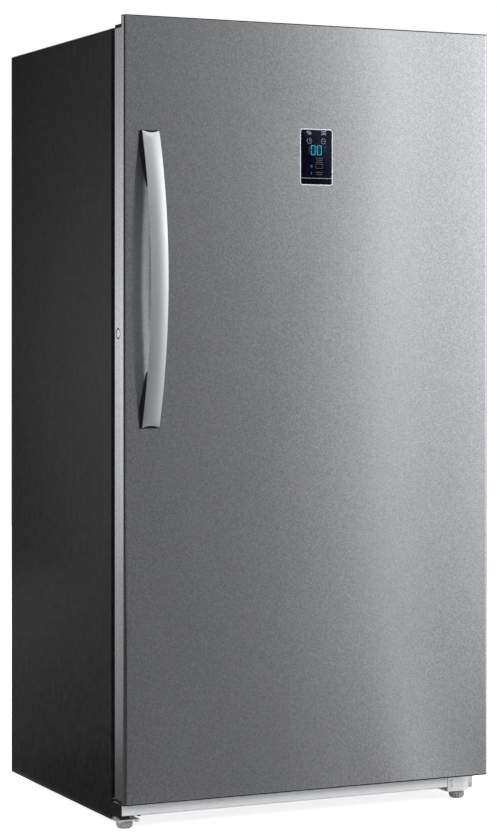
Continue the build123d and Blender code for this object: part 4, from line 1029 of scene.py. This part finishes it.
@dataclass
class Hinges:
    """Brackets, pins, the top cover and the screws that hold them."""

    front_screw: HexScrew = HexScrew(7.5, 1.7, 5.3, 0.4)
    top_screw: HexScrew = HexScrew(8.0, 3.0, 5.6, 1.0)

    def build(self, shop: Workshop) -> None:
        """Dress the hinges and make their screws."""
        shop.dress_all(bottom_hinge_bracket=(0.6, 3), top_hinge_bracket=0.5, top_hinge_cover=(0.8, 3),
                       hinge_pins=(0.8, 3))
        ear = slab(28.0, 36.0, 6.0, 4, ((0.5, 0.4),))
        moved(ear, (401.9, -234.4, 35.0))
        thicken(shop.piece("bottom_hinge_ear", ear, "cabinet", "zinc_steel"), 1.2)
        form = bmesh.new()
        for z in (32.5, 43.5):
            self.front_screw.add(form, (336.0, -287.8, z), Facing.FRONT)
        for y in (-209.0, -177.0):
            self.top_screw.add(form, (380.0, y, 1605.0), Facing.UP)
        shop.piece("hinge_screw_heads", form, "cabinet", "zinc_steel", ("hinge_screws",))


# ---- inside ----------------------------------------------------------------------------------------
@dataclass
class Fan:
    """Axial fan with pitched blades on a domed hub."""

    centre: Place
    facing: Facing
    radius: float
    depth: float
    hub: float = 15.0
    blades: int = 5

    def blade(self) -> Form:
        """Return one pitched, slightly cupped blade about an upright axis."""
        form = bmesh.new()
        bmesh.ops.create_grid(form, x_segments=10, y_segments=8, size=0.5)
        sweep, lean = radians(58), radians(18)
        for vert in form.verts:
            out, round_ = vert.co.x + 0.5, vert.co.y * 2
            reach = self.hub - 1.5 + out * (self.radius - self.hub + 1.5)
            reach -= 0.14 * self.radius * out * round_ ** 2
            angle = sweep / 2 * round_ * (0.62 + 0.45 * out) + lean * out
            lift = self.depth * (0.36 * round_ * (1 - 0.35 * out) - 0.07 * (1 - round_ ** 2))
            vert.co = Vector((reach * cos(angle), reach * sin(angle), lift)) * MM
        return form

    def build(self, shop: Workshop, name: str, body: str, slot: str, node: str) -> None:
        """Set the blades round the hub."""
        half = self.depth / 2
        hub = turned_form([(3.05, -half), (self.hub - 1, -half), (self.hub, -half + 1), (self.hub, half - 3),
                           (self.hub - 1.2, half - 1), (self.hub - 4, half), (3.05, half), (3.05, -half)], (0, 0, 0))
        form = self.blade()
        bmesh.ops.solidify(form, geom=form.faces[:], thickness=1.2 * MM)
        bmesh.ops.recalc_face_normals(form, faces=form.faces)
        bmesh.ops.spin(form, geom=[*form.verts, *form.edges, *form.faces], cent=(0, 0, 0), axis=(0, 0, 1),
                       angle=2 * pi * (self.blades - 1) / self.blades, steps=self.blades - 1, use_duplicate=True)
        join(form, hub)
        bmesh.ops.transform(form, matrix=self.facing.at(self.centre), verts=form.verts)
        shop.piece(name, form, body, slot, (node,), smooth=45)


@dataclass
class Interior:
    """Shelves, basket, lamp, light switch and the evaporator bay."""

    cap: Stops = ((0, 1.6), (2.6, 1.5), (4.4, 1.0), (5.2, 0.2), (5.2, 0), (0, 0))
    fan: Fan = field(default_factory=lambda: Fan((0.0, 272.5, 1300.0), Facing.FRONT, 58.0, 12.0))

    def build(self, shop: Workshop) -> None:
        """Dress the fittings of the freezing space."""
        for number in range(1, 4):
            shop.dress(f"shelf_glass_{number}", 0.6)
            shop.dress(f"shelf_frame_{number}", 1.0, 3)
        shop.dress_all(basket_rails=0.8, freezer_basket=(0.9, 3), lamp_lens=(1.5, 3), light_switch_housing=(0.8, 3),
                       light_switch_plunger=0.3, evaporator_cover=(0.9, 3), evaporator_coil=0,
                       evaporator_fan_motor=0.8)
        self.fan.build(shop, "evaporator_fan_blades", "evaporator_rotor", "white_liner", "evaporator_fan")
        caps = bmesh.new()
        for x in (-318.0, 318.0):
            for z in (440.0, 900.0, 1180.0, 1482.0):
                join(caps, turned_form(list(self.cap), (x, 245.0, z), Facing.FRONT, 24))
        shop.piece("cover_screw_caps", caps, "cabinet", "white_liner")


# ---- machine compartment -----------------------------------------------------------------------------
@dataclass
class Machine:
    """Compressor with its pipes, condenser, fan, drain pan and the slotted rear cover."""

    fan: Fan = field(default_factory=lambda: Fan((-57.0, 258.0, 150.0), Facing.RIGHT, 70.0, 14.0))

    def pipes(self) -> Form:
        """Return the pressure line to the condenser, the suction line and the sealed filling stub."""
        form = tube([(130, 200, 150), (112, 190, 150), (88, 185, 176), (60, 178, 250), (-60, 178, 292),
                     (-250, 190, 292), (-322, 200, 280), (-334, 220, 226)], 3.0)
        join(form, tube([(262, 300, 150), (286, 318, 152), (300, 330, 190), (302, 334, 260), (302, 334, 326)], 4.0))
        join(form, tube([(132, 288, 160), (112, 300, 160), (98, 306, 172), (94, 308, 206)], 3.2))
        return form

    def build(self, shop: Workshop) -> None:
        """Dress the machine and lay its pipes."""
        shop.dress_all(compressor=(0.8, 3), compressor_mounts=(0.8, 3), condenser=0, condenser_fan_motor=0.6,
                       drain_pan=0.7, machine_cover=0.25)
        shop.piece("refrigerant_pipes", self.pipes(), "cabinet", "zinc_steel", smooth=40)
        self.fan.build(shop, "condenser_fan_blades", "condenser_rotor", "black_plastic", "condenser_fan")
        edges = [(x, REAR_SHEET, z) for x in (-396.0, -80.0, 80.0, 396.0) for z in (40.0, 314.0)]
        REAR_SCREW.row(shop, "machine_cover_screws", "cabinet", edges, Facing.BACK)


# ---- studio ------------------------------------------------------------------------------------------
Paint = Callable[[Graph, Sockets], object]


@dataclass
class Studio:
    """Camera, world, floor, lamps and the cards that the steel reflects."""

    place: Place = (-2.269, -4.856, 1.007)
    yaw: float = 25.04
    lens: float = 106.97
    shift: Pair = (-0.0018, -0.1112)
    # brightness of the front light against the slope across at which the door mirrors it
    front_light: Stops = (
        (-0.35, 0.10), (-0.15, 0.14), (0.05, 0.20), (0.18, 0.22), (0.30, 0.22), (0.38, 0.20), (0.42, 0.25),
        (0.456, 0.30), (0.482, 0.36), (0.50, 0.45), (0.514, 0.51), (0.535, 0.60), (0.556, 1.06), (0.575, 0.82),
        (0.60, 0.68), (0.63, 0.90), (0.68, 1.2), (0.8, 1.4), (1.1, 1.5))
    # how much brighter that light gets where it is seen from steeply below or above
    high_light: Stops = (
        (0.0, -0.8), (0.1, -0.6), (0.18, 1.8), (0.3, 1.6), (0.42, 0.8), (0.6, -0.7), (1.1, -0.75))
    low_light: Stops = ((0.0, 2.0), (0.3, 2.2), (0.45, 1.8), (0.6, 0.5), (1.1, 0.25))
    # brightness of the rear left light against X and against Z, in metres
    rear_light: Stops = ((-9.0, 0.90), (-3.3, 1.0), (-2.6, 1.05), (-2.3, 0.48), (-2.0, 0.07), (0.0, 0.04))
    rear_height: Stops = ((0.0, 0.62), (0.5, 0.85), (0.95, 1.0), (1.4, 0.85), (2.1, 0.50), (3.0, 0.3), (6.0, 0.3))
    # brightness against Y of the light beside the freezer, dark along its front, and of the floor there
    left_light: Stops = ((-4.0, 0.03), (1.2, 0.06), (2.6, 0.55), (5.0, 0.95))
    floor_light: Stops = ((-4.0, 0.03), (-0.3, 0.07), (0.3, 0.11), (0.9, 0.24), (2.5, 0.36), (5.0, 0.46))
    # name, place, size and power of the lamps: a soft key from the right, a weak fill and a back light
    lamps: tuple[tuple[str, Place, float, float], ...] = (
        ("key", (2.6, -3.2, 3.2), 2.6, 150.0), ("fill", (-3.4, -2.6, 2.8), 2.4, 45.0),
        ("back", (0.5, 3.6, 3.4), 2.4, 70.0))
    aim: Place = (0, 0, 0.8)

    def camera(self) -> None:
        """Set the photograph's viewpoint."""
        data = bpy.data.cameras.new("camera")
        data.sensor_fit, data.sensor_height, data.lens = "VERTICAL", 36.0, self.lens
        data.shift_x, data.shift_y = self.shift
        camera = linked("camera", data)
        camera.location = self.place
        camera.rotation_euler = (radians(90), 0.0, -radians(self.yaw))
        bpy.context.scene.camera = camera

    def world(self) -> None:
        """White to the eye and in gloss, and plain soft light on everything else."""
        world = bpy.data.worlds.new("studio")
        world.use_nodes = True
        bpy.context.scene.world = world
        graph = Graph(world.node_tree)
        rays = graph.node("LightPath").outputs
        seen = graph.math("ADD", graph.math("ADD", rays["Is Camera Ray"], rays["Is Glossy Ray"]),
                          rays["Is Transmission Ray"], clamp=True)
        back = world.node_tree.nodes["Background"]
        graph.feed(back.inputs["Color"], graph.blend(seen, (0.55, 0.56, 0.58, 1.0), WHITE))

    @staticmethod
    def plane(name: str, size: Pair, place: Place, turn: Place = (0, 0, 0)) -> Thing:
        """Make a stage plane from its size and place in metres; turn is in degrees."""
        form = bmesh.new()
        bmesh.ops.create_grid(form, x_segments=1, y_segments=1, size=0.5)
        bmesh.ops.scale(form, vec=(*size, 1.0), verts=form.verts)
        for axis, angle in zip("XYZ", turn):
            turned(form, radians(angle), axis)
        bmesh.ops.translate(form, verts=form.verts, vec=place)
        made = linked(name, finished(name, form))
        return made

    def floor(self) -> None:
        """Pale floor that keeps the shadow."""
        made = self.plane("floor", (14.0, 14.0), (0.0, 0.0, 0.0))
        material, graph, shader = new_material("floor")
        speckle = graph.noise(graph.node("TexCoord").outputs["Object"], 3.0, 4.0)
        graph.feed(shader.inputs["Base Color"], graph.blend(speckle, (0.86, 0.86, 0.86, 1), (0.9, 0.9, 0.9, 1)))
        for socket, value in (("Roughness", 0.75), ("Specular IOR Level", 0.1), ("Emission Color", WHITE)):
            shader.inputs[socket].default_value = value
        graph.feed(shader.inputs["Emission Strength"],
                   graph.times(graph.node("LightPath").outputs["Is Camera Ray"], 0.85))
        made.data.materials.append(material)

    def card(self, name: str, size: Pair, place: Place, turn: Place, paint: Paint) -> None:
        """Hang a card that only gloss sees.

        Args:
            name: The card's name.
            size: Its width and height, in metres.
            place: Its middle.
            turn: Its turn, in degrees.
            paint: Gives its brightness from the graph and its separated coordinates.
        """
        made = self.plane(name, size, place, turn)
        made.visible_camera = made.visible_diffuse = made.visible_shadow = made.visible_transmission = False
        material, graph, shader = new_material(name)
        graph.tree.nodes.remove(shader)
        split = graph.node("SeparateXYZ", {0: graph.node("TexCoord").outputs["Object"]}).outputs
        light = graph.node("Emission", {"Color": (0.985, 0.99, 1.0, 1.0), "Strength": paint(graph, split)})
        graph.feed(graph.tree.nodes["Material Output"].inputs["Surface"], light.outputs[0])
        made.data.materials.append(material)

    @staticmethod
    def stepped(graph: Graph, value: object, stops: Stops) -> Socket:
        """Return a brightness that runs through (value, brightness) stops."""
        low, high = stops[0][0], stops[-1][0]
        place = graph.math("DIVIDE", graph.less(value, low), high - low, clamp=True)
        most = max(level for _, level in stops)
        ramp = graph.ramp(place, [((at - low) / (high - low), level / most) for at, level in stops])
        return graph.times(ramp, most)

    def front(self, graph: Graph, split: Sockets) -> Socket:
        """Light to the right and above, dim to the left, as the door mirrors it towards the camera."""
        mirrored_y = 2 * DOOR_FRONT * MM - self.place[1]
        reach = graph.less(mirrored_y, split["Y"])
        across = graph.math("DIVIDE", graph.less(split["X"], self.place[0]), reach)
        rise = graph.math("DIVIDE", graph.less(split["Z"], self.place[2]), reach)
        level = self.stepped(graph, across, self.front_light)
        steep = graph.mapped(across, 0.40, 0.54, 0.9, 1.6)
        level_rise = graph.math("MINIMUM", graph.math("MAXIMUM", rise, -0.25), 0.2)
        height = graph.math("MULTIPLY_ADD", graph.math("ADD", level_rise, 0.032), steep, 1.0)
        extra = graph.mapped(across, 0.40, 0.56, 0.3, 0.75)
        below = graph.math("MAXIMUM", graph.less(0.05, level_rise), 0.0)
        height = graph.less(height, graph.times(below, extra))
        for first, last, stops in ((0.2, 0.6, self.high_light), (-0.22, -0.5, self.low_light)):
            share = graph.mapped(rise, first, last, 0.0, 1.0)
            change = graph.less(self.stepped(graph, across, tuple((a, v + 1.0) for a, v in stops)), 1.0)
            height = graph.math("MULTIPLY_ADD", share, change, height)
        return graph.times(level, height)

    def rear(self, graph: Graph, split: Sockets) -> Socket:
        """A soft upright window behind the freezer's left, brightest at mid height."""
        return graph.times(self.stepped(graph, split["X"], self.rear_light),
                          self.stepped(graph, split["Z"], self.rear_height))

    def beside(self, stops: Stops) -> Paint:
        """Return a paint that runs through these stops along Y."""
        return lambda graph, split: self.stepped(graph, split["Y"], stops)

    def build(self) -> None:
        """Set up the whole studio: camera, world, floor, cards and lamps."""
        self.camera()
        self.world()
        self.floor()
        self.card("light_wall", (12.75, 6.0), (1.625, -4.0, 3.0), (90, 0, 0), self.front)
        self.card("light_apron", (8.45, 3.55), (3.775, -2.225, 0.004), (0, 0, 0), self.front)
        self.card("rear_light", (9.0, 6.0), (-4.5, 5.0, 3.0), (90, 0, 0), self.rear)
        self.card("left_floor_light", (8.5, 9.0), (-4.7, 0.5, 0.004), (0, 0, 0), self.beside(self.floor_light))
        self.card("left_light", (9.0, 6.0), (-5.0, 0.5, 3.0), (90, 0, 90), self.beside(self.left_light))
        for name, place, size, power in self.lamps:
            data = bpy.data.lights.new(name, "AREA")
            data.shape, data.size, data.energy = "SQUARE", size, power
            lamp = linked(name, data)
            lamp.location = place
            lamp.rotation_euler = (Vector(self.aim) - Vector(place)).to_track_quat("-Z", "Y").to_euler()
            lamp.visible_glossy = False
        bpy.context.scene.view_settings.view_transform = "Standard"


def main() -> None:
    """Load the frame, build each sub-assembly and set up the studio."""
    logging.basicConfig(level=logging.INFO, format="%(name)s: %(message)s")
    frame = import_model()
    shop = Workshop(frame)
    for assembly in (Cabinet(), Base(), Hinges(), Interior(), Machine(), Door()):
        assembly.build(shop)
    Studio().build()


if __name__ == "__main__":
    main()
